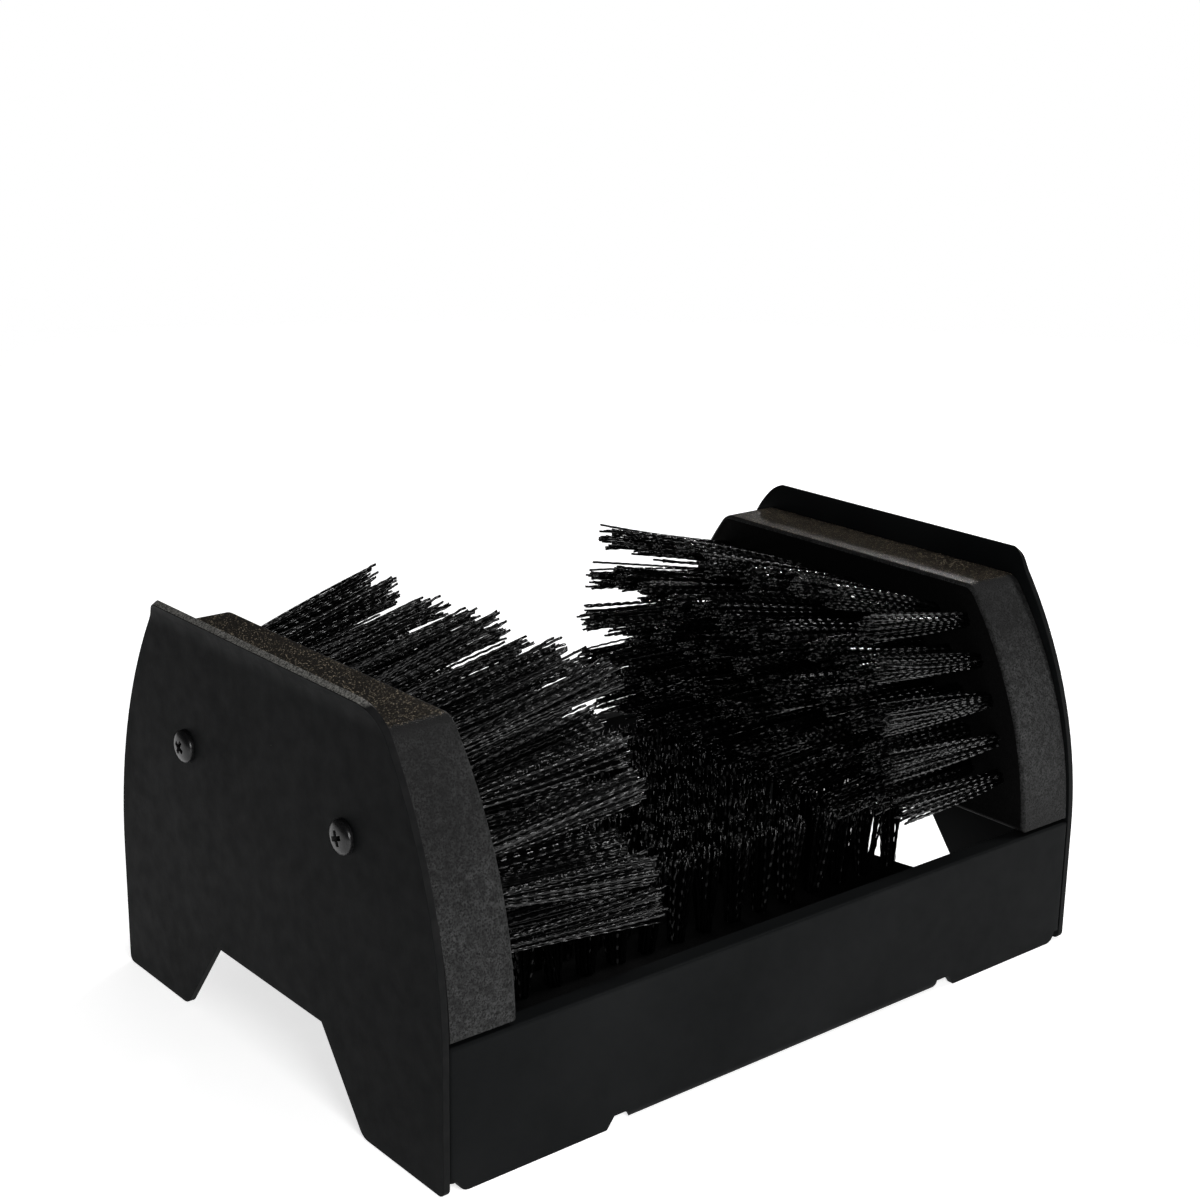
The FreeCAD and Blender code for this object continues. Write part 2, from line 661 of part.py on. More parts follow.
def side_row_heights():
    """Return the heights of a side brush's tuft rows."""
    middle = value(f"({SIDE_ROW_TOP} + {SIDE_ROW_BOTTOM}) / 2")
    reach = value(f"({SIDE_ROW_TOP} - {SIDE_ROW_BOTTOM}) / 2")
    return [middle + place for place in even_places(reach, SIDE_ROWS)]


def side_tuft_places(height):
    """Return the places of the tufts along a side brush's row."""
    reach = value(f"{side_block_reach(height)} - Sizes.side_tuft_margin")
    return tuft_places(reach, value("Sizes.side_tuft_pitch"))


def add_side_rows(prefix, sign, half_turn):
    """Make the tuft rows of a side brush, one sub-part a row, fanned upward and outward."""
    heights = side_row_heights()
    rows = []
    for number, height in enumerate(heights, start=1):
        places = side_tuft_places(height)
        spread = tip_spread(places, heights)
        lift = value("Sizes.side_lift_angle") * (number - 1) / (SIDE_ROWS - 1)
        tufts = []
        for place in places:
            lean = (value("Sizes.side_splay_angle") * place / places[-1], lift)
            length = value("Sizes.side_tuft_length")
            tufts.append(make_tuft(place, lean, length, spread, (BACK, UP, ACROSS)))
        corner = FreeCAD.Vector(sign * value(SIDE_BRUSH_FACE), 0, height)
        rows.append(add_row(f"{prefix}_{number}", tufts, corner, half_turn))
    return rows


def add_base_rows(prefix):
    """Make the tuft rows of the base brush, one sub-part a row, fanned slightly outward.

    They end just under the lowest tufts of the side brushes.
    """
    heights = side_row_heights()
    side_spread = tip_spread(side_tuft_places(heights[0]), heights)
    tip_height = heights[0] - side_spread[1] * TUFT_FLAT_SHARE - value("Sizes.brush_gap")
    length = tip_height - value(BASE_BRUSH_FACE)
    far_row = value(f"{BASE_HALF_DEPTH} - Sizes.base_rows_margin")
    depths = even_places(far_row, BASE_ROWS)
    rows = []
    for number, depth in enumerate(depths, start=1):
        reach = value(f"{base_block_reach(depth)} - Sizes.base_tuft_margin")
        places = tuft_places(reach, value("Sizes.base_tuft_pitch"))
        spread = tip_spread(places, depths)
        tufts = []
        for place in places:
            shares = (place / reach, depth / far_row)
            lean = [value("Sizes.base_splay_angle") * share for share in shares]
            tufts.append(make_tuft(place, lean, length, spread, (ACROSS, BACK, UP)))
        corner = FreeCAD.Vector(0, depth, value(BASE_BRUSH_FACE))
        rows.append(add_row(f"{prefix}_{number}", tufts, corner))
    return rows


def build():
    """Make every sub-part."""
    return [
        add_side_plate("left_side_plate", 0),
        add_side_plate("right_side_plate", HALF_TURN),
        add_base_channel("base_channel"),
        add_side_block("left_brush_block", 0),
        add_side_block("right_brush_block", HALF_TURN),
        add_base_block("base_brush_block"),
        add_plate_screws("left_plate_screws", -1, -QUARTER_TURN),
        add_plate_screws("right_plate_screws", 1, QUARTER_TURN),
        add_base_screws("base_block_screws", HALF_TURN),
        *add_side_rows("left_bristle_row", -1, 0),
        *add_side_rows("right_bristle_row", 1, HALF_TURN),
        *add_base_rows("base_bristle_row"),
    ]


def check(subparts):
    """Stop before writing anything if a feature or a sub-part's shape is broken."""
    broken = [item.Label for item in document.Objects if {"Invalid", "Error"} & set(item.State)]
    for subpart in subparts:
        if subpart.Shape.isNull() or not subpart.Shape.isValid():
            broken.append(subpart.Label)
    if broken:
        raise RuntimeError(f"broken: {', '.join(broken)}")


def write(subparts):
    """Write each sub-part's shape to a file of its own name."""
    os.makedirs("parts", exist_ok=True)
    for subpart in subparts:
        subpart.Shape.exportStep(f"parts/{subpart.Label}.step")
        print(f"{subpart.Label}: {len(subpart.Shape.Solids)} solids, {subpart.Shape.Volume:.0f} mm3")


subparts = build()
document.recompute()
check(subparts)
write(subparts)
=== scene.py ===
import logging
import math
from collections.abc import Callable, Iterable, Sequence
from dataclasses import dataclass
from enum import Enum

import bmesh
import bpy
import numpy as np
from mathutils import Matrix, Vector


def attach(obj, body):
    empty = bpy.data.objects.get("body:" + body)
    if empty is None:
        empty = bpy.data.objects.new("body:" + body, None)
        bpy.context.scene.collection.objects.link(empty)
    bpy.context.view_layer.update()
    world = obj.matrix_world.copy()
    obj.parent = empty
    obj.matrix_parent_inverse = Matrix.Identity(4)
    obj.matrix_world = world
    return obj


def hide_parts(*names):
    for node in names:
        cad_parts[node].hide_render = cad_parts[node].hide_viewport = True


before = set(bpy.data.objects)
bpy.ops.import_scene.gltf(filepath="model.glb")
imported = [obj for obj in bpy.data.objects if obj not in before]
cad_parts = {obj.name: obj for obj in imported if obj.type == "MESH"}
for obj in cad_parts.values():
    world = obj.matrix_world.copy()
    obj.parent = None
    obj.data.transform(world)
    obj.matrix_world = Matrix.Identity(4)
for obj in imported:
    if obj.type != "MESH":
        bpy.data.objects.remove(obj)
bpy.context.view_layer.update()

# The looks of a boot scrubber: a folded steel frame with three blocks of board, each set with
# tufts of crimped bristle. All sizes are in metres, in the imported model's own frame: X across
# the width, Y from front to back, Z up from the floor.

log = logging.getLogger("boot_scrubber")

BODY = "root"
CLOSE = 1e-5
QUARTER = math.pi / 2
GOLDEN_TURN = math.pi * (3 - math.sqrt(5))
# Where the random numbers of each brush start, one more for each row.
SEEDS = {"left": 100, "right": 300, "base": 500}

Test = Callable[[Vector], bool]
Place = tuple[float, float, float]
Faces = list[tuple[int, ...]]


class Pick(Enum):
    """Which kind of element a selection takes."""

    VERTICES = "VERT"
    EDGES = "EDGE"
    FACES = "FACE"


class Side(Enum):
    """Which side of the frame a piece stands on, by the sign of its X."""

    LEFT = -1
    RIGHT = 1

    @property
    def word(self) -> str:
        """Return the side's word in the names of pieces."""
        return self.name.lower()


def put_down() -> None:
    """Leave edit mode and deselect everything."""
    if bpy.context.object is not None and bpy.context.object.mode != "OBJECT":
        bpy.ops.object.mode_set(mode="OBJECT")
    bpy.ops.object.select_all(action="DESELECT")


def take(piece: bpy.types.Object) -> None:
    """Make a piece the only selected one.

    Args:
        piece: The piece.
    """
    put_down()
    piece.select_set(True)
    bpy.context.view_layer.objects.active = piece


def pick_all() -> None:
    """Select all of the piece that is being edited."""
    bpy.ops.mesh.select_all(action="SELECT")


def edit(piece: bpy.types.Object) -> None:
    """Open a piece for editing, with all of it selected.

    Args:
        piece: The piece.
    """
    take(piece)
    bpy.ops.object.mode_set(mode="EDIT")
    pick_all()


def start(name: str) -> bpy.types.Object:
    """Name the primitive that was just added and open it for editing.

    Args:
        name: The piece's name, which its mesh gets too.

    Returns:
        The piece, in edit mode.
    """
    piece = bpy.context.object
    piece.name = piece.data.name = name
    bpy.ops.object.mode_set(mode="EDIT")
    return piece


def pick(piece: bpy.types.Object, kind: Pick, test: Test) -> None:
    """Select the elements of a piece in edit mode whose middle passes a test.

    Args:
        piece: The piece that is being edited.
        kind: The kind of element.
        test: What an element's middle has to pass.

    Raises:
        RuntimeError: If no element passes.
    """
    bpy.ops.mesh.select_mode(type=kind.value)
    bpy.ops.mesh.select_all(action="DESELECT")
    mesh = bmesh.from_edit_mesh(piece.data)
    found = False
    for element in {Pick.VERTICES: mesh.verts, Pick.EDGES: mesh.edges, Pick.FACES: mesh.faces}[kind]:
        if kind is Pick.VERTICES:
            middle = element.co
        elif kind is Pick.EDGES:
            middle = (element.verts[0].co + element.verts[1].co) / 2
        else:
            middle = element.calc_center_median()
        if test(middle):
            element.select_set(True)
            found = True
    bmesh.update_edit_mesh(piece.data)
    if not found:
        raise RuntimeError(f"{piece.name}: a selection of {kind.name.lower()} is empty")


def slit(across: float) -> None:
    """Cut an edge through all of the piece in edit mode, at a place along X."""
    pick_all()
    bpy.ops.mesh.bisect(plane_co=(across, 0, 0), plane_no=(1, 0, 0), threshold=CLOSE)


def round_off(size: float, segments: int, kind: Pick = Pick.EDGES) -> None:
    """Bevel the edges or corners that are selected in edit mode."""
    bpy.ops.mesh.bevel(offset=size, segments=segments, affect=kind.name)


def move(offset: Sequence[float]) -> None:
    """Move what is selected in edit mode."""
    bpy.ops.transform.translate(value=tuple(offset))


def stretch(shares: Sequence[float], middle: Sequence[float]) -> None:
    """Scale what is selected in edit mode about a point."""
    bpy.ops.transform.resize(value=tuple(shares), center_override=tuple(middle))


def extrude(offset: Sequence[float]) -> None:
    """Extrude what is selected in edit mode."""
    bpy.ops.mesh.extrude_region_move(TRANSFORM_OT_translate={"value": tuple(offset)})


def fold(piece: bpy.types.Object, test: Test, moves: Iterable[Sequence[float]]) -> None:
    """Extrude the chosen edges of a sheet along a chain of moves.

    Args:
        piece: The sheet in edit mode.
        test: What an edge's middle has to pass.
        moves: The moves, one after another.
    """
    pick(piece, Pick.EDGES, test)
    for offset in moves:
        extrude(offset)


def arc_moves(radius: float, begin: float, turn: float, steps: int) -> list[tuple[float, float]]:
    """Divide an arc into straight moves.

    Args:
        radius: The arc's radius.
        begin: The direction in which the arc starts, as an angle.
        turn: How far it turns, positive to the left.
        steps: The number of moves.

    Returns:
        The moves, as pairs along the plane's two axes.
    """
    chord = 2 * radius * math.sin(abs(turn) / (2 * steps))
    angles = [begin + turn * (index + 0.5) / steps for index in range(steps)]
    return [(chord * math.cos(angle), chord * math.sin(angle)) for angle in angles]


def apply(piece: bpy.types.Object, kind: str, **settings: object) -> None:
    """Add a modifier to a piece and apply it.

    Args:
        piece: The piece.
        kind: The modifier's type.
        settings: The modifier's settings.
    """
    take(piece)
    modifier = piece.modifiers.new(kind.lower(), kind)
    for name, setting in settings.items():
        setattr(modifier, name, setting)
    bpy.ops.object.modifier_apply(modifier=modifier.name)


def merge(piece: bpy.types.Object) -> None:
    """Merge a piece's doubles and turn its faces the same way.

    Args:
        piece: The piece.
    """
    edit(piece)
    bpy.ops.mesh.remove_doubles(threshold=CLOSE)
    bpy.ops.mesh.normals_make_consistent(inside=False)
    bpy.ops.object.mode_set(mode="OBJECT")


def face_towards(piece: bpy.types.Object, test: Test, direction: Sequence[float]) -> None:
    """Flip a sheet if its face at some place doesn't look in a direction.

    Args:
        piece: The sheet, its faces turned the same way.
        test: What the middle of the face has to pass.
        direction: Where that face should look.
    """
    face = next(face for face in piece.data.polygons if test(face.center))
    if face.normal.dot(Vector(direction)) < 0:
        edit(piece)
        bpy.ops.mesh.flip_normals()
        bpy.ops.object.mode_set(mode="OBJECT")


def thicken(piece: bpy.types.Object, thickness: float, offset: float = -1) -> None:
    """Give a sheet its thickness, behind its faces or in front of them (offset 1)."""
    apply(piece, "SOLIDIFY", thickness=thickness, offset=offset, use_even_offset=True)


def ease_edges(piece: bpy.types.Object, width: float, segments: int = 2, angle: float = 40) -> None:
    """Round every sharp edge of a piece a little."""
    limit = math.radians(angle)
    apply(piece, "BEVEL", width=width, segments=segments, limit_method="ANGLE", angle_limit=limit)


def smooth(piece: bpy.types.Object, angle: float = 35) -> None:
    """Shade a piece smoothly, with its flat faces kept flat.

    Args:
        piece: The piece.
        angle: The sharpest angle that is shaded smoothly, in degrees.
    """
    take(piece)
    bpy.ops.object.shade_smooth_by_angle(angle=math.radians(angle))
    apply(piece, "WEIGHTED_NORMAL", keep_sharp=True)


def upright(out: float, along: float, across: float, height: float = 0.0) -> Matrix:
    """Set out the axes that stand a flat piece up, its Y upright.

    Args:
        out: The sign of X to which the piece's Z turns.
        along: The sign of Y to which the piece's X turns.
        across: Where the piece's origin goes along X.
        height: Where the piece's origin goes along Z.

    Returns:
        The axes.
    """
    return Matrix(((0, 0, out, across), (along, 0, 0, 0), (0, 1, 0, height), (0, 0, 0, 1)))


def settle(piece: bpy.types.Object) -> None:
    """Put a piece's place, turn and scale into its mesh."""
    take(piece)
    bpy.ops.object.transform_apply(location=True, rotation=True, scale=True)


def copied(piece: bpy.types.Object, name: str, half_turn: bool = False) -> bpy.types.Object:
    """Copy a piece with its own mesh.

    Args:
        piece: The piece to copy.
        name: The copy's name.
        half_turn: Whether the copy is turned round the frame's upright middle.

    Returns:
        The copy.
    """
    take(piece)
    bpy.ops.object.duplicate(linked=False)
    copy = bpy.context.object
    copy.name = copy.data.name = name
    if half_turn:
        copy.rotation_euler.z = math.pi
        settle(copy)
    return copy


def joined(pieces: Sequence[bpy.types.Object], name: str) -> bpy.types.Object:
    """Join pieces into one.

    Args:
        pieces: The pieces; the first takes in the others.
        name: The name of the whole.

    Returns:
        The whole.
    """
    take(pieces[0])
    for piece in pieces[1:]:
        piece.select_set(True)
    bpy.ops.object.join()
    whole = bpy.context.object
    whole.name = whole.data.name = name
    return whole


def cut_out(piece: bpy.types.Object, cutter: bpy.types.Object) -> None:
    """Cut a cutter's shape out of a piece and remove the cutter."""
    apply(piece, "BOOLEAN", operation="DIFFERENCE", solver="EXACT", object=cutter)
    bpy.data.objects.remove(cutter)


def sheet_of_rows(name: str, rows: Sequence[tuple[float, float]]) -> bpy.types.Object:
    """Model a flat sheet that grows row by row, lying on the floor.

    Args:
        name: The piece's name.
        rows: Each row's place along Y and its half width along X.

    Returns:
        The sheet, in edit mode.
    """
    (first, half_first), (second, half_second) = rows[:2]
    middle = (0, (first + second) / 2, 0)
    put_down()
    bpy.ops.mesh.primitive_plane_add(size=second - first, location=middle)
    sheet = start(name)
    pick_all()
    sheet.location = (0, 0, 0)
    move(middle)
    for place, half in ((first, half_first), (second, half_second)):
        pick(sheet, Pick.EDGES, lambda spot: abs(spot.y - place) < CLOSE and abs(spot.x) < CLOSE)
        stretch((2 * half / (second - first), 1, 1), (0, place, 0))
    before, half_before = second, half_second
    for place, half in rows[2:]:
        extrude((0, place - before, 0))
        stretch((half / half_before, 1, 1), (0, place, 0))
        before, half_before = place, half
    return sheet


def mark(piece: bpy.types.Object, name: str, test: Callable[[bpy.types.MeshPolygon], bool]) -> None:
    """Mark the faces that pass a test in an attribute that the finish reads.

    Args:
        piece: The piece.
        name: The attribute's name.
        test: What a face has to pass.
    """
    marks = piece.data.attributes.new(name, "FLOAT", "FACE")
    marks.data.foreach_set("value", [float(test(face)) for face in piece.data.polygons])


def present(piece: bpy.types.Object, finish: "Finish", nodes: Sequence[str]) -> None:
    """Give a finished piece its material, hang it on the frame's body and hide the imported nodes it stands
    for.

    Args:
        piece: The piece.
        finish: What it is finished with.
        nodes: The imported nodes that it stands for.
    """
    put_down()
    piece.data.materials.clear()
    piece.data.materials.append(finish.material())
    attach(piece, BODY)
    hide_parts(*nodes)
    log.info("%s: %d faces, for %s", piece.name, len(piece.data.polygons), ", ".join(nodes))


Colour = tuple[float, float, float]
Span = tuple[float, float, float, float]

# The sockets of Blender's colour mix, by their number, and the range where most noise lies.
MIX_SHARE, MIX_LOW, MIX_HIGH, MIX_COLOUR = 0, 6, 7, 2
NOISE = (0.3, 0.7)
VALUE = "NodeSocketFloat"
VECTOR = "NodeSocketVector"


def opaque(colour: Colour) -> tuple[float, float, float, float]:
    """Return a colour with full alpha."""
    return (*colour, 1.0)


class NodeBoard:
    """Places and links the nodes of a material or of a shared group."""

    def __init__(self, tree: bpy.types.NodeTree) -> None:
        """Keep the tree that the nodes go into."""
        self.tree = tree

    def add(
        self, kind: str, links: dict[str | int, object] | None = None, **settings: object
    ) -> bpy.types.Node:
        """Add a node.

        Args:
            kind: The node's type.
            links: For each input, the socket that feeds it or its own value.
            settings: The node's settings.

        Returns:
            The node.
        """
        node = self.tree.nodes.new(kind)
        for name, setting in settings.items():
            setattr(node, name, setting)
        for name, source in (links or {}).items():
            self.feed(node, name, source)
        return node

    def feed(self, node: bpy.types.Node, name: str | int, source: object) -> None:
        """Link a socket to a node's input, or set the input's own value.

        Args:
            node: The node.
            name: The input's name or number.
            source: The socket or the value.
        """
        if isinstance(source, bpy.types.NodeSocket):
            self.tree.links.new(source, node.inputs[name])
        else:
            node.inputs[name].default_value = source

    def blend(
        self, share: bpy.types.NodeSocket, low: bpy.types.NodeSocket | Colour, high: Colour
    ) -> bpy.types.NodeSocket:
        """Mix two colours.

        Args:
            share: The share of the second colour.
            low: The first colour, or the socket that gives it.
            high: The second colour.

        Returns:
            The mixed colour.
        """
        base = low if isinstance(low, bpy.types.NodeSocket) else opaque(low)
        links = {MIX_SHARE: share, MIX_LOW: base, MIX_HIGH: opaque(high)}
        return self.add("ShaderNodeMix", links, data_type="RGBA").outputs[MIX_COLOUR]

    def math(self, operation: str, first: object, second: object) -> bpy.types.NodeSocket:
        """Add a sum of two values or sockets and return its result."""
        return self.add("ShaderNodeMath", {0: first, 1: second}, operation=operation).outputs[0]

    def spread(self, source: bpy.types.NodeSocket, span: Sequence[float]) -> bpy.types.NodeSocket:
        """Map a value from one range to another, held at its ends.

        Args:
            source: The value.
            span: The lowest and highest value that come in, and what they become.

        Returns:
            The mapped value.
        """
        names = ("From Min", "From Max", "To Min", "To Max")
        links = {"Value": source, **dict(zip(names, span))}
        return self.add("ShaderNodeMapRange", links).outputs["Result"]

    def attribute(self, name: str) -> bpy.types.NodeSocket:
        """Return the value of a piece's own attribute."""
        return self.add("ShaderNodeAttribute", attribute_name=name).outputs["Fac"]

    def upward(self) -> bpy.types.NodeSocket:
        """Return how far the surface looks up, 1 where it is level."""
        facing = self.add("ShaderNodeTexCoord").outputs["Normal"]
        return self.add("ShaderNodeSeparateXYZ", {"Vector": facing}).outputs["Z"]


def group_tree(
    name: str, inputs: Sequence[tuple[str, str]], outputs: Sequence[tuple[str, str]]
) -> tuple[NodeBoard, bpy.types.bpy_prop_collection, bpy.types.Node]:
    """Start a shared group of nodes.

    Args:
        name: The group's name.
        inputs: The name and type of each input.
        outputs: The name and type of each output.

    Returns:
        The group's board, its inputs and its output node.
    """
    tree = bpy.data.node_groups.new(name, "ShaderNodeTree")
    for label, kind in inputs:
        tree.interface.new_socket(label, in_out="INPUT", socket_type=kind)
    for label, kind in outputs:
        tree.interface.new_socket(label, in_out="OUTPUT", socket_type=kind)
    board = NodeBoard(tree)
    return board, board.add("NodeGroupInput").outputs, board.add("NodeGroupOutput")


def mottle_group() -> bpy.types.NodeTree:
    """Build the shared group of cloudy patches with finer grain on them.

    Returns:
        The group, which puts out broad clouds, patches and a fine grain.
    """
    found = bpy.data.node_groups.get("mottle")
    if found:
        return found
    names = ("Clouds", "Patches", "Grain")
    values = [(name, VALUE) for name in names]
    board, given, result = group_tree("mottle", [("Place", VECTOR), *values], values)
    for name, detail, rough in zip(names, (2.0, 4.0, 3.0), (0.5, 0.6, 0.7)):
        links = {"Vector": given["Place"], "Scale": given[name], "Detail": detail, "Roughness": rough}
        board.feed(result, name, board.add("ShaderNodeTexNoise", links).outputs["Fac"])
    return board.tree


def dust_group() -> bpy.types.NodeTree:
    """Build the shared group of tiny specks, sparse on upright faces and denser on upper ones.

    Returns:
        The group, which puts out a mask that is 1 on a speck.
    """
    found = bpy.data.node_groups.get("dust")
    if found:
        return found
    settling = 3.0
    sizes = (0, 1, 0.45, 1.3)
    values = [(name, VALUE) for name in ("Density", "Size", "Share", "Settled")]
    board, given, result = group_tree(
        "dust", [("Place", VECTOR), ("Normal", VECTOR), *values], [("Specks", VALUE)]
    )
    links = {"Vector": given["Place"], "Scale": given["Density"], "Randomness": 1.0}
    cells = board.add("ShaderNodeTexVoronoi", links)
    parted = board.add("ShaderNodeSeparateColor", {"Color": cells.outputs["Color"]})
    facing = board.add("ShaderNodeSeparateXYZ", {"Vector": given["Normal"]})
    upward = board.math("MAXIMUM", facing.outputs["Z"], 0.0)
    settled = board.math("MULTIPLY", board.math("POWER", upward, settling), given["Settled"])
    share = board.math("ADD", settled, given["Share"])
    chosen = board.math("LESS_THAN", parted.outputs["Red"], share)
    reach = board.math("MULTIPLY", given["Size"], board.spread(parted.outputs["Green"], sizes))
    near = board.math("LESS_THAN", cells.outputs["Distance"], reach)
    board.feed(result, "Specks", board.math("MULTIPLY", chosen, near))
    return board.tree


@dataclass(frozen=True)
class Finish:
    """What every finish has: a name, two base colours, its roughness, its gloss and its scales.

    The scales are those of the mottle's clouds, patches and grain, per metre.
    """

    name: str
    dark: Colour
    light: Colour
    roughness: tuple[float, float]
    gloss: float = 0.5
    scales: tuple[float, float, float] = (1.0, 1.0, 1.0)

    def material(self) -> bpy.types.Material:
        """Return the finish's material, built the first time it is asked for.

        Returns:
            The material.
        """
        found = bpy.data.materials.get(self.name)
        if found:
            return found
        made = bpy.data.materials.new(self.name)
        made.use_nodes = True
        made.diffuse_color = opaque(self.light)
        shader = made.node_tree.nodes["Principled BSDF"]
        shader.inputs["Specular IOR Level"].default_value = self.gloss
        self.dress(NodeBoard(made.node_tree), shader)
        return made

    def dress(self, board: NodeBoard, shader: bpy.types.Node) -> None:
        """Link the finish's nodes to the shader; each finish has its own."""
        raise NotImplementedError

    def mottle(self, board: NodeBoard) -> tuple[bpy.types.NodeSocket, ...]:
        """Place the shared mottle group with this finish's own scales.

        Args:
            board: The board of the material.

        Returns:
            The clouds, the patches and the grain.
        """
        place = board.add("ShaderNodeTexCoord").outputs["Object"]
        links = {"Place": place, **dict(zip(("Clouds", "Patches", "Grain"), self.scales))}
        return tuple(board.add("ShaderNodeGroup", links, node_tree=mottle_group()).outputs)

    @staticmethod
    def specks(board: NodeBoard, **values: float) -> bpy.types.NodeSocket:
        """Place the shared dust group.

        Args:
            board: The board of the material.
            values: The group's own values, by the names of its inputs.

        Returns:
            The mask of the specks.
        """
        spot = board.add("ShaderNodeTexCoord").outputs
        links = {"Place": spot["Object"], "Normal": spot["Normal"], **values}
        return board.add("ShaderNodeGroup", links, node_tree=dust_group()).outputs["Specks"]

    def uneven(self, board: NodeBoard, mask: bpy.types.NodeSocket) -> bpy.types.NodeSocket:
        """Return a roughness that varies by a noise, between the finish's two."""
        return board.spread(mask, (*NOISE, *self.roughness))

    @staticmethod
    def raise_grain(
        board: NodeBoard, shader: bpy.types.Node, height: bpy.types.NodeSocket, depth: float
    ) -> None:
        """Raise the surface's grain as a bump of some depth in metres."""
        bump = board.add("ShaderNodeBump", {"Strength": 1.0, "Distance": depth, "Height": height})
        board.feed(shader, "Normal", bump.outputs["Normal"])


@dataclass(frozen=True)
class PowderCoat(Finish):
    """Semi-matte powder coat: orange peel, faint clouds, a few specks, rims lightened by wear and a painted
    highlight, top rims with dust and a painted highlight.
    """

    scales: tuple[float, float, float] = (18.0, 160.0, 1500.0)
    peel_depth: float = 0.00003
    speck: Colour = (0.05, 0.048, 0.045)
    # The rims' colour: wear and a painted highlight.
    worn: Colour = (0.01, 0.01, 0.01)
    # The top rims' colour: dust and a painted highlight.
    dust: Colour = (0.24, 0.235, 0.22)
    wear: Span = (0.35, 0.65, 0.2, 0.8)
    upper: Span = (0.70, 0.79, 0.0, 1.0)
    lay: Span = (0.4, 0.6, 0.15, 1.0)

    def dress(self, board: NodeBoard, shader: bpy.types.Node) -> None:
        """Link the coat's clouds, rims lightened by wear and a painted highlight, specks, dust with a
        painted highlight, roughness and orange peel.

        Args:
            board: The board of the material.
            shader: The material's shader.
        """
        clouds, patches, grain = self.mottle(board)
        coat = board.blend(board.spread(clouds, (*NOISE, 0.0, 1.0)), self.dark, self.light)
        rim = board.attribute("rim")
        # The rims are lightened by wear and a painted highlight.
        rubbed_and_highlit = board.blend(board.math("MULTIPLY", rim, board.spread(patches, self.wear)), coat, self.worn)
        specks = self.specks(board, Density=420.0, Size=0.10, Share=0.0025, Settled=0.0)
        speckled = board.blend(specks, rubbed_and_highlit, self.speck)
        # The top rims get dust and a painted highlight.
        upper_rim = board.math("MULTIPLY", rim, board.spread(board.upward(), self.upper))
        dust_and_highlight = board.math("MULTIPLY", upper_rim, board.spread(grain, self.lay))
        board.feed(shader, "Base Color", board.blend(dust_and_highlight, speckled, self.dust))
        board.feed(shader, "Roughness", self.uneven(board, patches))
        self.raise_grain(board, shader, grain, self.peel_depth)


@dataclass(frozen=True)
class PaintedBoard(Finish):
    """Fibre board under thin paint: speckled, pitted and sandy on top, its tops browner as a painted
    reflection, with painted shade on upturned faces and in the grooves, and darker paint with painted shade
    where the tufts stand.
    """

    scales: tuple[float, float, float] = (26.0, 420.0, 1500.0)
    sand: Colour = (0.3, 0.25, 0.18)
    pit: Colour = (0.002, 0.002, 0.002)
    # The level tops' colour; its warm brown tint is a painted reflection.
    top: Colour = (0.011, 0.0092, 0.007)
    # Painted shade: faces that turn up, from the curved sides to the eased top edges, darken towards this.
    shade: Colour = (0.008, 0.008, 0.008)
    # The brush faces' darker paint with painted shade, and the grooves' painted shade.
    face: Colour = (0.0006, 0.0006, 0.0006)
    cloudy: Span = (*NOISE, 0.3, 1.0)
    patchy: Span = (0.36, 0.64, 0.25, 1.0)
    pitting: Span = (0.38, 0.56, 1.0, 0.0)
    upper: Span = (0.35, 0.85, 0.0, 1.0)
    level: Span = (0.93, 0.99, 0.0, 1.0)
    top_roughness: float = 0.33
    face_dulling: float = 0.3
    grain_depth: float = 0.00024

    def dress(self, board: NodeBoard, shader: bpy.types.Node) -> None:
        """Link the board's speckle, pits, painted shade on upturned faces, tops with a painted reflection,
        sand, dark faces with painted shade, roughness and grain.

        Args:
            board: The board of the material.
            shader: The material's shader.
        """
        clouds, patches, grain = self.mottle(board)
        tone = board.math("MULTIPLY", board.spread(clouds, self.cloudy), board.spread(patches, self.patchy))
        paint = board.blend(tone, self.dark, self.light)
        pitted = board.blend(board.spread(grain, self.pitting), paint, self.pit)
        upward = board.upward()
        level = board.spread(upward, self.level)
        # Painted shade on faces that turn up.
        shaded = board.blend(board.spread(upward, self.upper), pitted, self.shade)
        # Level tops take the top colour, a painted reflection in its brown tint.
        topped = board.blend(level, shaded, self.top)
        sand = self.specks(board, Density=1500.0, Size=0.32, Share=0.0, Settled=0.6)
        sanded = board.blend(board.math("MULTIPLY", sand, level), topped, self.sand)
        # The brush faces take darker paint with painted shade; the grooves take painted shade.
        drilled = board.attribute("drilled")
        board.feed(shader, "Base Color", board.blend(drilled, sanded, self.face))
        coarse = self.uneven(board, patches)
        drop = board.math("MULTIPLY", board.math("SUBTRACT", coarse, self.top_roughness), level)
        glossy = board.math("SUBTRACT", coarse, drop)
        dulled = board.math("ADD", glossy, board.math("MULTIPLY", drilled, self.face_dulling))
        board.feed(shader, "Roughness", dulled)
        self.raise_grain(board, shader, grain, self.grain_depth)


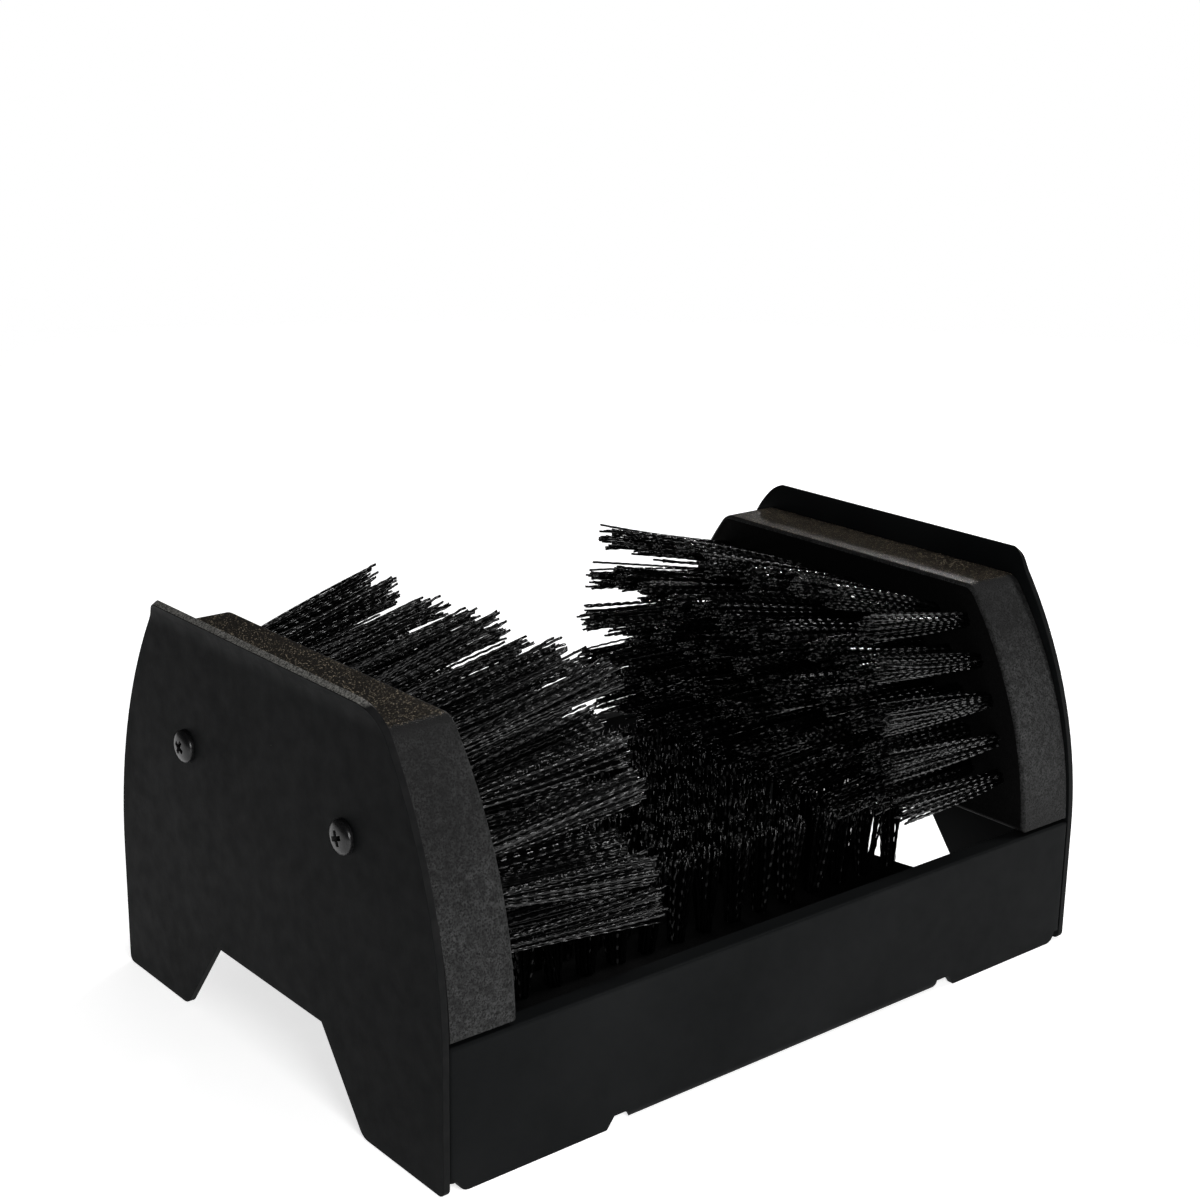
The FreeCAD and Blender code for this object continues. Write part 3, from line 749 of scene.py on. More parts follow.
@dataclass(frozen=True)
class CrimpedPlastic(Finish):
    """Glossy black plastic of the bristles: each strand has its own tone, some with painted highlights on
    their crimps.
    """

    wave_depth: float = 0.00017
    # Painted highlight on the crimps' crests.
    scuff: Colour = (0.045, 0.045, 0.045)
    crests: Span = (0.3, 0.9, 0.0, 1.0)
    scuffed: Span = (0.72, 0.92, 0.0, 1.0)

    def dress(self, board: NodeBoard, shader: bpy.types.Node) -> None:
        """Link the strand's tone to its colour and roughness, and its crimps to the painted highlights and
        bump.

        Args:
            board: The board of the material.
            shader: The material's shader.
        """
        tone = board.attribute("tone")
        plain = board.blend(tone, self.dark, self.light)
        board.feed(shader, "Roughness", board.spread(tone, (0.0, 1.0, *self.roughness)))
        turns = board.math("MULTIPLY", board.attribute("period"), 2 * math.pi)
        wave = board.math("SINE", turns, 0.0)
        self.raise_grain(board, shader, wave, self.wave_depth)
        # Painted highlights on the crests of some strands.
        painted_glints = board.math("MULTIPLY", board.spread(wave, self.crests), board.spread(tone, self.scuffed))
        board.feed(shader, "Base Color", board.blend(painted_glints, plain, self.scuff))


@dataclass(frozen=True)
class ScrewSteel(Finish):
    """Plated screw steel, black or bright, with faint marks and painted shade in the recess."""

    scales: tuple[float, float, float] = (200.0, 600.0, 4000.0)
    metallic: float = 1.0
    # Painted shade in the cross recess.
    hollow: Colour = (0.0005, 0.0005, 0.0005)
    recess_dulling: float = 0.5

    def dress(self, board: NodeBoard, shader: bpy.types.Node) -> None:
        """Link the plating's marks and the recess, darkened with painted shade, to the colour and the
        roughness.

        Args:
            board: The board of the material.
            shader: The material's shader.
        """
        _, patches, grain = self.mottle(board)
        plating = board.blend(board.spread(patches, (*NOISE, 0.0, 1.0)), self.dark, self.light)
        recess = board.attribute("recess")
        # Painted shade darkens the recess.
        board.feed(shader, "Base Color", board.blend(recess, plating, self.hollow))
        dulling = board.math("MULTIPLY", recess, self.recess_dulling)
        board.feed(shader, "Roughness", board.math("ADD", self.uneven(board, grain), dulling))
        board.feed(shader, "Metallic", self.metallic)


@dataclass(frozen=True)
class PaleFloor(Finish):
    """Matte pale floor that fades into the white surroundings."""

    scales: tuple[float, float, float] = (3.0, 20.0, 60.0)
    glow: float = 0.82
    solid_reach: float = 0.7
    fade_reach: float = 1.6

    def dress(self, board: NodeBoard, shader: bpy.types.Node) -> None:
        """Link faint clouding to the colour and the distance to the alpha.

        Args:
            board: The board of the material.
            shader: The material's shader.
        """
        clouds, patches, _ = self.mottle(board)
        board.feed(shader, "Base Color", board.blend(clouds, self.dark, self.light))
        board.feed(shader, "Roughness", self.uneven(board, patches))
        board.feed(shader, "Emission Color", opaque(self.light))
        board.feed(shader, "Emission Strength", self.glow)
        place = board.add("ShaderNodeTexCoord").outputs["Object"]
        reach = board.add("ShaderNodeVectorMath", {0: place}, operation="LENGTH").outputs["Value"]
        fade = board.spread(reach, (self.solid_reach, self.fade_reach, 1.0, 0.0))
        board.feed(shader, "Alpha", fade)


POWDER = PowderCoat(
    "black_powder_coat", (0.0035, 0.004, 0.0042), (0.0065, 0.007, 0.0073), (0.5, 0.62), gloss=0.03
)
BOARD = PaintedBoard(
    "painted_fibre_board", (0.003, 0.003, 0.003), (0.048, 0.049, 0.049), (0.55, 0.7), gloss=0.1
)
STRAND = CrimpedPlastic(
    "crimped_bristle", (0.0006, 0.0006, 0.0006), (0.002, 0.002, 0.0021), (0.12, 0.22), gloss=0.36
)
BLACK_STEEL = ScrewSteel(
    "blackened_screw", (0.004, 0.004, 0.0045), (0.01, 0.01, 0.0105), (0.24, 0.36), metallic=0.3
)
BRIGHT_STEEL = ScrewSteel("bright_screw", (0.38, 0.38, 0.38), (0.55, 0.55, 0.54), (0.25, 0.4))
FLOOR = PaleFloor("pale_floor", (0.87, 0.87, 0.87), (0.89, 0.89, 0.89), (0.85, 0.95), gloss=0.1)


@dataclass
class SidePlates:
    """The two upright plates: waisted sheets with a curled top and two feet."""

    face: float = 0.145
    sheet: float = 0.0025
    half_depth: float = 0.1
    height: float = 0.1475
    side_straight: float = 0.0455
    side_radius: float = 0.168
    corner_radius: float = 0.01
    corner_trim: float = 0.0002
    curl_out: float = 0.003
    curl_radius: float = 0.015
    foot_depth: float = 0.0437
    foot_slope: float = 0.0231
    gap_height: float = 0.0305
    foot_radius: float = 0.0025
    foot_steps: int = 5
    side_steps: int = 16
    bend_steps: int = 4
    corner_steps: int = 8
    edge: float = 0.00035
    rim_tilt: float = 0.7

    @property
    def inside(self) -> float:
        """Return the distance of the plates' inner faces from the middle."""
        return self.face - self.sheet

    @property
    def curl_start(self) -> float:
        """Return the height at which the curl starts."""
        share = 1 - self.curl_out / self.curl_radius
        return self.height - (self.curl_radius + self.sheet) * math.sqrt(1 - share**2)

    def curl(self, height: float) -> float:
        """Work out how far the inner face leans out.

        Args:
            height: The height on the plate.

        Returns:
            How far the face lies outside the flat part's.
        """
        radius = self.curl_radius + self.sheet
        rise = max(0.0, height - self.curl_start)
        return radius - math.sqrt(radius**2 - rise**2)

    def rows(self) -> list[tuple[float, float]]:
        """List the plate's rows above the feet.

        Returns:
            Each row's height and half depth.
        """
        corner_height = self.height + self.corner_trim - self.corner_radius
        rise = corner_height - self.side_straight
        gap = self.side_radius - self.corner_radius
        side_centre = self.half_depth - self.side_radius
        corner_centre = side_centre + math.sqrt(gap**2 - rise**2)
        meeting = math.asin(rise / gap)
        found = [(self.gap_height, self.half_depth)]

        def on_side(angle: float) -> tuple[float, float]:
            """Return the row where the side arc has turned by an angle."""
            height = self.side_straight + self.side_radius * math.sin(angle)
            return height, side_centre + self.side_radius * math.cos(angle)

        curl_angle = math.asin((self.curl_start - self.side_straight) / self.side_radius)
        found += [on_side(curl_angle * step / self.side_steps) for step in range(self.side_steps + 1)]
        for step in range(1, self.bend_steps + 1):
            found.append(on_side(curl_angle + (meeting - curl_angle) * step / self.bend_steps))
        last = math.asin((self.height - corner_height) / self.corner_radius)
        for step in range(1, self.corner_steps + 1):
            angle = meeting + (last - meeting) * step / self.corner_steps
            height = corner_height + self.corner_radius * math.sin(angle)
            found.append((height, corner_centre + self.corner_radius * math.cos(angle)))
        return found

    def model(self) -> bpy.types.Object:
        """Model the left plate: its sheet grows row by row, then gets feet, curl and thickness.

        Returns:
            The left plate.
        """
        rows = self.rows()
        plate = sheet_of_rows("left_plate", rows)
        gap_half = self.half_depth - self.foot_depth - self.foot_slope
        slit(-gap_half)
        slit(gap_half)
        low = self.gap_height
        pick(plate, Pick.EDGES, lambda spot: abs(spot.y - low) < CLOSE and abs(spot.x) > gap_half + CLOSE)
        extrude((0, -low, 0))
        for sign in (-1, 1):
            corner = sign * gap_half
            pick(plate, Pick.VERTICES, lambda spot: spot.y < CLOSE and abs(spot.x - corner) < CLOSE)
            move((sign * self.foot_slope, 0, 0))
        pick(plate, Pick.VERTICES, lambda spot: spot.y < CLOSE)
        round_off(self.foot_radius, self.foot_steps, Pick.VERTICES)
        for height, _ in rows:
            if height > self.curl_start + CLOSE:
                pick(plate, Pick.VERTICES, lambda spot: abs(spot.y - height) < CLOSE)
                move((0, 0, self.curl(height)))
        put_down()
        # Stood up: what lay along Y becomes upright, and the curl leans to the left.
        plate.matrix_world = upright(-1, 1, -self.inside)
        settle(plate)
        merge(plate)
        face_towards(plate, lambda spot: spot.z > self.gap_height, (-1, 0, 0))
        thicken(plate, self.sheet, 1)
        ease_edges(plate, self.edge)
        smooth(plate)
        # The rims, which the coat lightens with wear, dust and a painted highlight.
        mark(plate, "rim", lambda face: abs(face.normal.x) < self.rim_tilt)
        return plate

    def build(self) -> None:
        """Make both plates and put them on the frame."""
        left = self.model()
        right = copied(left, "right_plate", half_turn=True)
        for side, plate in ((Side.LEFT, left), (Side.RIGHT, right)):
            present(plate, POWDER, [f"{side.word}_side_plate"])


@dataclass
class BaseChannel:
    """The folded channel between the plates: strap, walls, turned-in tops and end flanges.

    Its walls stand 0.01 mm behind the plates' edges, so that the two don't share a plane.
    """

    half_inside: float = 0.1425
    half_depth: float = 0.09999
    sheet: float = 0.0025
    height: float = 0.0485
    fold_radius: float = 0.0012
    strap_fold_radius: float = 0.004
    corner_radius: float = 0.004
    return_depth: float = 0.007
    flange_depth: float = 0.012
    foot_inset: float = 0.003
    half_strap: float = 0.07
    notch_slope: float = 0.003
    notch_width: float = 0.012
    hole_place: float = 0.049
    hole_radius: float = 0.0028
    sink_radius: float = 0.005
    hole_corners: int = 48
    fold_steps: int = 4
    corner_steps: int = 5
    strap_steps: int = 6
    edge: float = 0.0003

    def model(self) -> bpy.types.Object:
        """Model the channel's outer faces, front half first, then mirror and thicken them.

        Returns:
            The channel.
        """
        end, low, high = self.half_inside, self.strap_fold_radius, self.height
        tongue = self.half_strap + self.notch_slope
        notch = self.half_strap + self.notch_width - self.notch_slope
        put_down()
        bpy.ops.mesh.primitive_plane_add(size=1)
        channel = start("channel")
        pick_all()
        bpy.ops.transform.rotate(value=QUARTER, orient_axis="X", center_override=(0, 0, 0))
        stretch((2 * end, 1, high - low), (0, 0, 0))
        move((0, -self.half_depth, (low + high) / 2))
        for across in (tongue, notch, end - self.foot_inset):
            for sign in (-1, 1):
                slit(sign * across)
        fold(channel, lambda spot: abs(spot.z - high) < CLOSE, [(0, self.return_depth, 0)])
        for sign in (-1, 1):
            fold(
                channel,
                lambda spot: abs(spot.x - sign * end) < CLOSE and low < spot.z < high - CLOSE,
                [(0, self.return_depth, 0), (0, self.flange_depth - self.return_depth, 0)],
            )
        self.cut_feet(channel, notch, low)
        self.fold_strap(channel, tongue, low)
        put_down()
        apply(channel, "MIRROR", use_axis=(False, True, False), merge_threshold=CLOSE)
        merge(channel)
        face_towards(channel, lambda spot: spot.y < -self.half_depth + CLOSE, (0, -1, 0))
        thicken(channel, self.sheet)
        self.round_folds(channel)
        ease_edges(channel, self.edge)
        self.drill(channel)
        smooth(channel)
        return channel

    def round_folds(self, channel: bpy.types.Object) -> None:
        """Round the outside of the folds at the walls' tops and ends.

        Args:
            channel: The channel.
        """

        def on_two(spot: Vector) -> bool:
            """Tell whether an edge lies on two of the outer faces.

            Args:
                spot: The edge's middle.

            Returns:
                Whether it does.
            """
            at_end = abs(abs(spot.x) - self.half_inside) < CLOSE
            at_wall = abs(abs(spot.y) - self.half_depth) < CLOSE
            at_top = abs(spot.z - self.height) < CLOSE
            in_return = abs(spot.y) > self.half_depth - self.return_depth
            return at_wall and (at_end or at_top) or at_end and at_top and in_return

        edit(channel)
        pick(channel, Pick.EDGES, on_two)
        round_off(self.fold_radius, self.fold_steps)
        put_down()

    def cut_feet(self, channel: bpy.types.Object, notch: float, low: float) -> None:
        """Draw the wall's lower edge down to the floor beside the notches.

        Args:
            channel: The channel in edit mode.
            notch: Where the notch ends at its top, along X.
            low: The height of the wall's lower edge.
        """
        end = self.half_inside - self.foot_inset
        wall = -self.half_depth + CLOSE
        pick(
            channel,
            Pick.EDGES,
            lambda spot: abs(spot.z - low) < CLOSE and notch < abs(spot.x) < end and spot.y < wall,
        )
        extrude((0, 0, -low))
        for sign in (-1, 1):
            side = sign * notch
            pick(channel, Pick.VERTICES, lambda spot: spot.z < CLOSE and abs(spot.x - side) < CLOSE)
            move((sign * self.notch_slope, 0, 0))
        pick(channel, Pick.VERTICES, lambda spot: spot.z < CLOSE and abs(spot.x) > end - CLOSE)
        round_off(self.corner_radius - CLOSE, self.corner_steps, Pick.VERTICES)

    def fold_strap(self, channel: bpy.types.Object, tongue: float, low: float) -> None:
        """Fold the tongue under and run it to the middle as the strap.

        Args:
            channel: The channel in edit mode.
            tongue: Half the tongue's width.
            low: The height of the wall's lower edge.
        """
        radius = self.strap_fold_radius
        pick(channel, Pick.EDGES, lambda spot: abs(spot.z - low) < CLOSE and abs(spot.x) < tongue)
        gone = 0.0
        half = tongue
        for back, up in arc_moves(radius, -QUARTER, QUARTER, self.strap_steps):
            extrude((0, back, up))
            gone += back
            wanted = tongue - self.notch_slope * gone / radius
            stretch((wanted / half, 1, 1), (0, 0, 0))
            half = wanted
        extrude((0, self.half_depth - radius, 0))

    def drill(self, channel: bpy.types.Object) -> None:
        """Drill and countersink the strap's two screw holes.

        Args:
            channel: The channel.
        """
        depth = self.sink_radius - self.hole_radius
        for sign in (-1, 1):
            bpy.ops.mesh.primitive_cone_add(
                vertices=self.hole_corners,
                radius1=self.sink_radius + CLOSE,
                radius2=self.hole_radius,
                depth=depth,
                location=(sign * self.hole_place, 0, depth / 2 - CLOSE),
            )
            cutter = start("countersink")
            pick(cutter, Pick.FACES, lambda spot: spot.z > depth / 2 - CLOSE)
            extrude((0, 0, self.sheet))
            put_down()
            settle(cutter)
            cut_out(channel, cutter)

    def build(self) -> None:
        """Make the channel and put it on the frame."""
        present(self.model(), POWDER, ["base_channel"])


@dataclass
class BrushBlocks:
    """The three blocks of board that hold the tufts."""

    half_inside: float = 0.1425
    half_depth: float = 0.1
    thickness: float = 0.0254
    eased: float = 0.0014
    end_eased: float = 0.003
    seam: float = 0.0008
    edge: float = 0.0003
    side_inset: float = 0.0007
    side_radius: float = 0.1475
    side_straight: float = 0.0455
    side_bottom: float = 0.0498
    side_top: float = 0.1379
    base_bottom: float = 0.0025
    base_gap: float = 0.02235
    base_radius: float = 0.28
    base_half_depth: float = 0.076
    side_steps: int = 22
    base_half_steps: int = 9
    end_steps: int = 4
    seam_steps: int = 2
    eased_steps: int = 3
    edge_angle: float = 60.0
    groove_share: float = 0.9
    rim_reach: float = 10 * CLOSE

    @property
    def side_face(self) -> float:
        """Return the distance of the side blocks' brush faces from the middle."""
        return self.half_inside - self.thickness

    @property
    def base_top(self) -> float:
        """Return the height of the base block's brush face."""
        return self.base_bottom + self.thickness

    def side_reach(self, height: float) -> float:
        """Return a side block's half depth at a height."""
        centre = self.half_depth - self.side_inset - self.side_radius
        return centre + math.sqrt(self.side_radius**2 - (height - self.side_straight) ** 2)

    def base_reach(self, depth: float) -> float:
        """Return the base block's half width at a distance from its middle."""
        fall = math.sqrt(self.base_radius**2 - depth**2)
        return self.side_face - self.base_gap + self.base_radius - fall

    def ease(self, block: bpy.types.Object, brush_face: Test) -> None:
        """Ease a block's edges, more at its brush face, and shade it.

        Args:
            block: The block.
            brush_face: What the middle of an edge at the brush face's rim passes.
        """
        edit(block)
        pick(block, Pick.EDGES, brush_face)
        round_off(self.eased, self.eased_steps)
        put_down()
        ease_edges(block, self.edge, angle=self.edge_angle)
        smooth(block)

    def model_side(self) -> bpy.types.Object:
        """Model the left block, lying down, then stand it against its plate.

        Returns:
            The left block.
        """
        rise = self.side_top - self.side_bottom
        heights = [self.side_bottom + rise * step / self.side_steps for step in range(self.side_steps + 1)]
        block = sheet_of_rows("left_block", [(height, self.side_reach(height)) for height in heights])
        pick_all()
        extrude((0, 0, self.thickness))
        put_down()
        block.matrix_world = upright(1, 1, -self.half_inside)
        settle(block)
        merge(block)
        edit(block)
        pick(block, Pick.EDGES, self.upper_end)
        round_off(self.end_eased, self.end_steps)
        pick(block, Pick.EDGES, self.at_rim("x", -self.half_inside))
        round_off(self.seam, self.seam_steps)
        self.ease(block, self.at_rim("x", -self.side_face))
        return block

    def model_base(self) -> bpy.types.Object:
        """Model the base block with its hollow ends.

        Returns:
            The base block.
        """
        half = self.base_half_steps
        depths = [self.base_half_depth * (step / half - 1) for step in range(2 * half + 1)]
        block = sheet_of_rows("base_block", [(depth, self.base_reach(depth)) for depth in depths])
        pick_all()
        move((0, 0, self.base_bottom))
        extrude((0, 0, self.thickness))
        put_down()
        merge(block)
        self.ease(block, self.at_rim("z", self.base_top))
        return block

    def upper_end(self, spot: Vector) -> bool:
        """Tell whether an edge's middle lies across a side block's upper ends."""
        inside = self.side_face < abs(spot.x) < self.half_inside
        return inside and abs(spot.z - self.side_top) < CLOSE and abs(spot.y) > CLOSE

    def at_rim(self, axis: str, face: float) -> Test:
        """Make a test for the rim of one of a block's flat faces.

        Args:
            axis: The axis that the face looks along.
            face: Where the face lies on that axis.

        Returns:
            The test, for the middle of an edge.
        """

        def test(spot: Vector) -> bool:
            """Tell whether an edge lies on the rim.

            Args:
                spot: The edge's middle.

            Returns:
                Whether it does.
            """
            if abs(getattr(spot, axis) - face) > CLOSE:
                return False
            if axis == "x":
                at_end = min(abs(spot.z - self.side_bottom), abs(spot.z - self.side_top)) < CLOSE
                return at_end or abs(spot.y) > self.side_reach(spot.z) - self.end_eased
            at_end = abs(abs(spot.y) - self.base_half_depth) < CLOSE
            return at_end or abs(spot.x) > self.base_reach(spot.y) - self.rim_reach

        return test

    def build(self) -> None:
        """Make the three blocks and put them on the frame."""
        left = self.model_side()
        right = copied(left, "right_block", half_turn=True)
        side_face, base_top = self.side_face, self.base_top
        # The brush faces are marked, and so are the grooves where side blocks meet their plates: the faces
        # get darker paint with painted shade, the grooves painted shade.
        groove = self.half_inside - self.groove_share * self.seam
        for block, node, on_face in (
            (left, "left_brush_block", lambda spot: abs(spot.x + side_face) < CLOSE),
            (right, "right_brush_block", lambda spot: abs(spot.x - side_face) < CLOSE),
            (self.model_base(), "base_brush_block", lambda spot: abs(spot.z - base_top) < CLOSE),
        ):
            mark(block, "drilled", lambda face: on_face(face.center) or abs(face.center.x) > groove)
            present(block, BOARD, [node])


# How far each plate's two screws are turned in radians, the front one first.
SCREW_TURNS = {Side.LEFT: (0.35, 1.05), Side.RIGHT: (0.8, 0.15)}


@dataclass
class Screws:
    """The cross-recess screws: pan heads on the plates and countersunk ones under the strap."""

    plate_face: float = 0.145
    height: float = 0.0992
    spacing: float = 0.098
    head_radius: float = 0.0057
    head_height: float = 0.0029
    rim: float = 0.0007
    recess_reach: float = 0.0037
    recess_width: float = 0.002
    recess_depth: float = 0.0024
    shank_radius: float = 0.0024
    shank_length: float = 0.022
    point_share: float = 0.1
    corners: int = 48
    crown_steps: int = 8
    crown_roundness: float = 0.75
    crown_steepness: float = 0.9
    recess_taper: Place = (0.42, 0.6, 1)
    recess_floor: float = 0.6
    recess_tilt: float = 0.6
    edge: float = 0.00012
    edge_angle: float = 35.0
    smooth_angle: float = 40.0

    def model_head(self) -> bpy.types.Object:
        """Model a pan head that looks up, its underside on the floor, with its shank.

        Returns:
            The screw.
        """
        put_down()
        bpy.ops.mesh.primitive_cylinder_add(
            vertices=self.corners, radius=self.head_radius, depth=self.rim, location=(0, 0, self.rim / 2)
        )
        screw = start("plate_screw")
        bpy.ops.object.mode_set(mode="OBJECT")
        settle(screw)
        edit(screw)
        pick(screw, Pick.FACES, lambda spot: spot.z > self.rim - CLOSE and spot.to_2d().length < CLOSE)
        # The crown: rings that rise along a low dome.
        rise = self.head_height - self.rim
        before, height = self.head_radius, self.rim
        for step in range(1, self.crown_steps):
            angle = QUARTER * step / self.crown_steps
            radius = self.head_radius * math.cos(angle) ** self.crown_roundness
            level = self.rim + rise * math.sin(angle) ** self.crown_steepness
            extrude((0, 0, level - height))
            stretch((radius / before, radius / before, 1), (0, 0, level))
            before, height = radius, level
        pick(screw, Pick.FACES, lambda spot: spot.z < CLOSE and spot.to_2d().length < CLOSE)
        bpy.ops.mesh.inset(thickness=self.head_radius - self.shank_radius)
        extrude((0, 0, -self.shank_length + self.shank_radius))
        extrude((0, 0, -self.shank_radius))
        stretch((self.point_share, self.point_share, 1), (0, 0, 0))
        put_down()
        cut_out(screw, self.cross_cutter())
        ease_edges(screw, self.edge, angle=self.edge_angle)
        smooth(screw, self.smooth_angle)
        floor = self.head_height - self.recess_floor * self.recess_depth
        # Mark the recess, which the finish darkens with painted shade.
        mark(
            screw,
            "recess",
            lambda face: face.center.z > 0
            and face.center.to_2d().length < self.recess_reach
            and (face.normal.z < self.recess_tilt or face.center.z < floor),
        )
        return screw

    def cross_cutter(self) -> bpy.types.Object:
        """Model the tapering cross that cuts the recess.

        Returns:
            The cutter.
        """
        wings = []
        for turn in (0, QUARTER):
            put_down()
            bpy.ops.mesh.primitive_cube_add(size=1)
            wing = start("recess_wing")
            pick_all()
            stretch((2 * self.recess_reach, self.recess_width, 2 * self.recess_depth), (0, 0, 0))
            move((0, 0, self.head_height))
            low = self.head_height - self.recess_depth
            pick(wing, Pick.FACES, lambda spot: abs(spot.z - low) < CLOSE)
            stretch(self.recess_taper, (0, 0, low))
            put_down()
            wing.rotation_euler.z = turn
            settle(wing)
            wings.append(wing)
        apply(wings[0], "BOOLEAN", operation="UNION", solver="EXACT", object=wings[1])
        bpy.data.objects.remove(wings[1])
        return wings[0]

    def build(self) -> None:
        """Make both plates' pairs of screws and put them on the frame."""
        head = self.model_head()
        for side in Side:
            pair = []
            for index, sign in enumerate((-1, 1)):
                screw = copied(head, f"{side.word}_screw_{index}")
                lay = Matrix.Rotation(side.value * QUARTER, 4, "Y")
                place = Vector((side.value * self.plate_face, sign * self.spacing / 2, self.height))
                spin = Matrix.Rotation(SCREW_TURNS[side][index], 4, "Z")
                screw.matrix_world = Matrix.Translation(place) @ lay @ spin
                settle(screw)
                pair.append(screw)
            whole = joined(pair, f"{side.word}_screws")
            present(whole, BLACK_STEEL, [f"{side.word}_plate_screws"])
        bpy.data.objects.remove(head)
        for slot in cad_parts["base_block_screws"].material_slots:
            slot.material = BRIGHT_STEEL.material()


@dataclass
class Strand:
    """One crimped strand, modelled once and copied into every tuft."""

    length: float
    radius: float = 0.00055
    crimp: float = 0.0049
    swing: float = 0.00016
    corners: int = 3
    digits: int = 7

    def model(self) -> bpy.types.Object:
        """Model the strand standing on the floor: a small ring drawn up in a zigzag.

        Returns:
            The strand.
        """
        steps = round(self.length / (self.crimp / 2))
        put_down()
        bpy.ops.mesh.primitive_circle_add(
            vertices=self.corners, radius=self.radius, fill_type="NGON", location=(-self.swing, 0, 0)
        )
        strand = start("strand")
        pick_all()
        for step in range(steps):
            swing = 2 * self.swing * (1 if step % 2 == 0 else -1)
            extrude((swing, 0, self.length / steps))
        put_down()
        settle(strand)
        merge(strand)
        return strand

    def template(self) -> tuple[np.ndarray, Faces]:
        """Model the strand and read its mesh, its points sorted by ring and by turn in their ring.

        Returns:
            Its points and its faces' corners, the end caps as faces of three.
        """
        strand = self.model()
        points = np.array([point.co for point in strand.data.vertices])
        levels = np.round(points[:, 2], self.digits)
        middles = {level: points[levels == level, 0].mean() for level in np.unique(levels)}
        off_axis = points[:, 0] - np.array([middles[level] for level in levels])
        order = np.lexsort((np.arctan2(points[:, 1], off_axis), levels))
        rank = np.empty(len(order), int)
        rank[order] = np.arange(len(order))
        faces = [tuple(rank[list(face.vertices)]) for face in strand.data.polygons]
        bpy.data.objects.remove(strand)
        return points[order], faces


@dataclass
class Tuft:
    """Where one tuft stands: its root and its lean, along the row and across it."""

    root: tuple[float, float]
    lean: tuple[float, float]


@dataclass
class BristleRow:
    """One row of tufts, made as one mesh."""

    name: str
    tufts: list[Tuft]
    length: float
    axes: Matrix
    tip_reach: tuple[float, float]
    tip_limit: tuple[float, float]
    seed: int
    strands: int = 28
    root_radius: float = 0.0027
    scatter: float = 0.0011
    spread: float = 0.78
    sway: float = 2.2
    shortest: float = 0.95
    sway_limit: float = 1.7
    turn_scatter: float = 0.2
    bow_share: float = 0.5
    stagger: float = 0.0025
    sink: float = 0.001

    @property
    def node(self) -> str:
        """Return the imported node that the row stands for."""
        return self.name.replace("bristles", "bristle_row")

    def model(self, points: np.ndarray, faces: Faces) -> bpy.types.Object:
        """Set copies of the strand into every tuft of the row.

        Args:
            points: The strand's points.
            faces: The strand's faces.

        Returns:
            The row.
        """
        draw = np.random.default_rng(self.seed)
        most = self.sway_limit * self.sway
        placed, tones, periods = [], [], []
        for tuft in self.tufts:
            sway = np.clip(draw.normal(0, self.sway, 2), -most, most)
            tuft = Tuft(tuft.root, tuple(np.array(tuft.lean) + sway))
            for index in range(self.strands):
                placed.append(self.set_strand(points, tuft, index, draw))
                tones.append(draw.random())
                periods.append(points[:, 2] / Strand.crimp + draw.random())
        count = len(points)
        corners = [
            tuple(corner + number * count for corner in face)
            for number in range(len(placed))
            for face in faces
        ]
        where = np.concatenate(placed) @ np.array(self.axes.to_3x3()).T + np.array(self.axes.translation)
        mesh = bpy.data.meshes.new(self.name)
        mesh.from_pydata(where.tolist(), [], corners)
        mesh.polygons.foreach_set("use_smooth", [True] * len(corners))
        tone = mesh.attributes.new("tone", "FLOAT", "FACE")
        tone.data.foreach_set("value", np.repeat(np.array(tones, np.float32), len(faces)))
        period = mesh.attributes.new("period", "FLOAT", "POINT")
        period.data.foreach_set("value", np.concatenate(periods).astype(np.float32))
        row = bpy.data.objects.new(self.name, mesh)
        bpy.context.scene.collection.objects.link(row)
        return row

    def set_strand(
        self, points: np.ndarray, tuft: Tuft, index: int, draw: np.random.Generator
    ) -> np.ndarray:
        """Place one strand of a tuft.

        Args:
            points: The strand's points.
            tuft: The tuft.
            index: Which strand of the tuft it is.
            draw: The row's random numbers.

        Returns:
            The strand's points along the row, across it and out of the block.
        """
        share = math.sqrt((index + 0.5) / self.strands)
        turn = GOLDEN_TURN * index + draw.normal(0, self.turn_scatter)
        spot = np.array([math.cos(turn), math.sin(turn)]) * share
        root = np.array(tuft.root) + spot * self.root_radius
        shift = np.tan(np.radians(tuft.lean)) * self.length
        tip = np.array(tuft.root) + shift + spot * np.array(self.tip_reach) * self.spread
        tip += draw.normal(0, self.scatter, 2)
        end, above = self.tip_limit
        tip = np.array([np.clip(tip[0], -end, end), min(tip[1], above)])
        bow = draw.normal(0, self.scatter * self.bow_share, 2)
        length = draw.uniform(self.shortest, 1.0)
        roll = draw.uniform(0, 2 * math.pi)
        phase = draw.uniform(-0.5, 0.5) * self.stagger
        up = points[:, 2] * length
        along = up / self.length
        cosine, sine = math.cos(roll), math.sin(roll)
        flat = points[:, :2] @ np.array([[cosine, sine], [-sine, cosine]])
        path = root + along[:, None] * (tip - root)
        path += bow * (4 * along * (1 - along))[:, None]
        up = np.where(up > CLOSE, up + phase * (1 - along), up - self.sink)
        return np.column_stack([path + flat, np.minimum(up, self.length)])


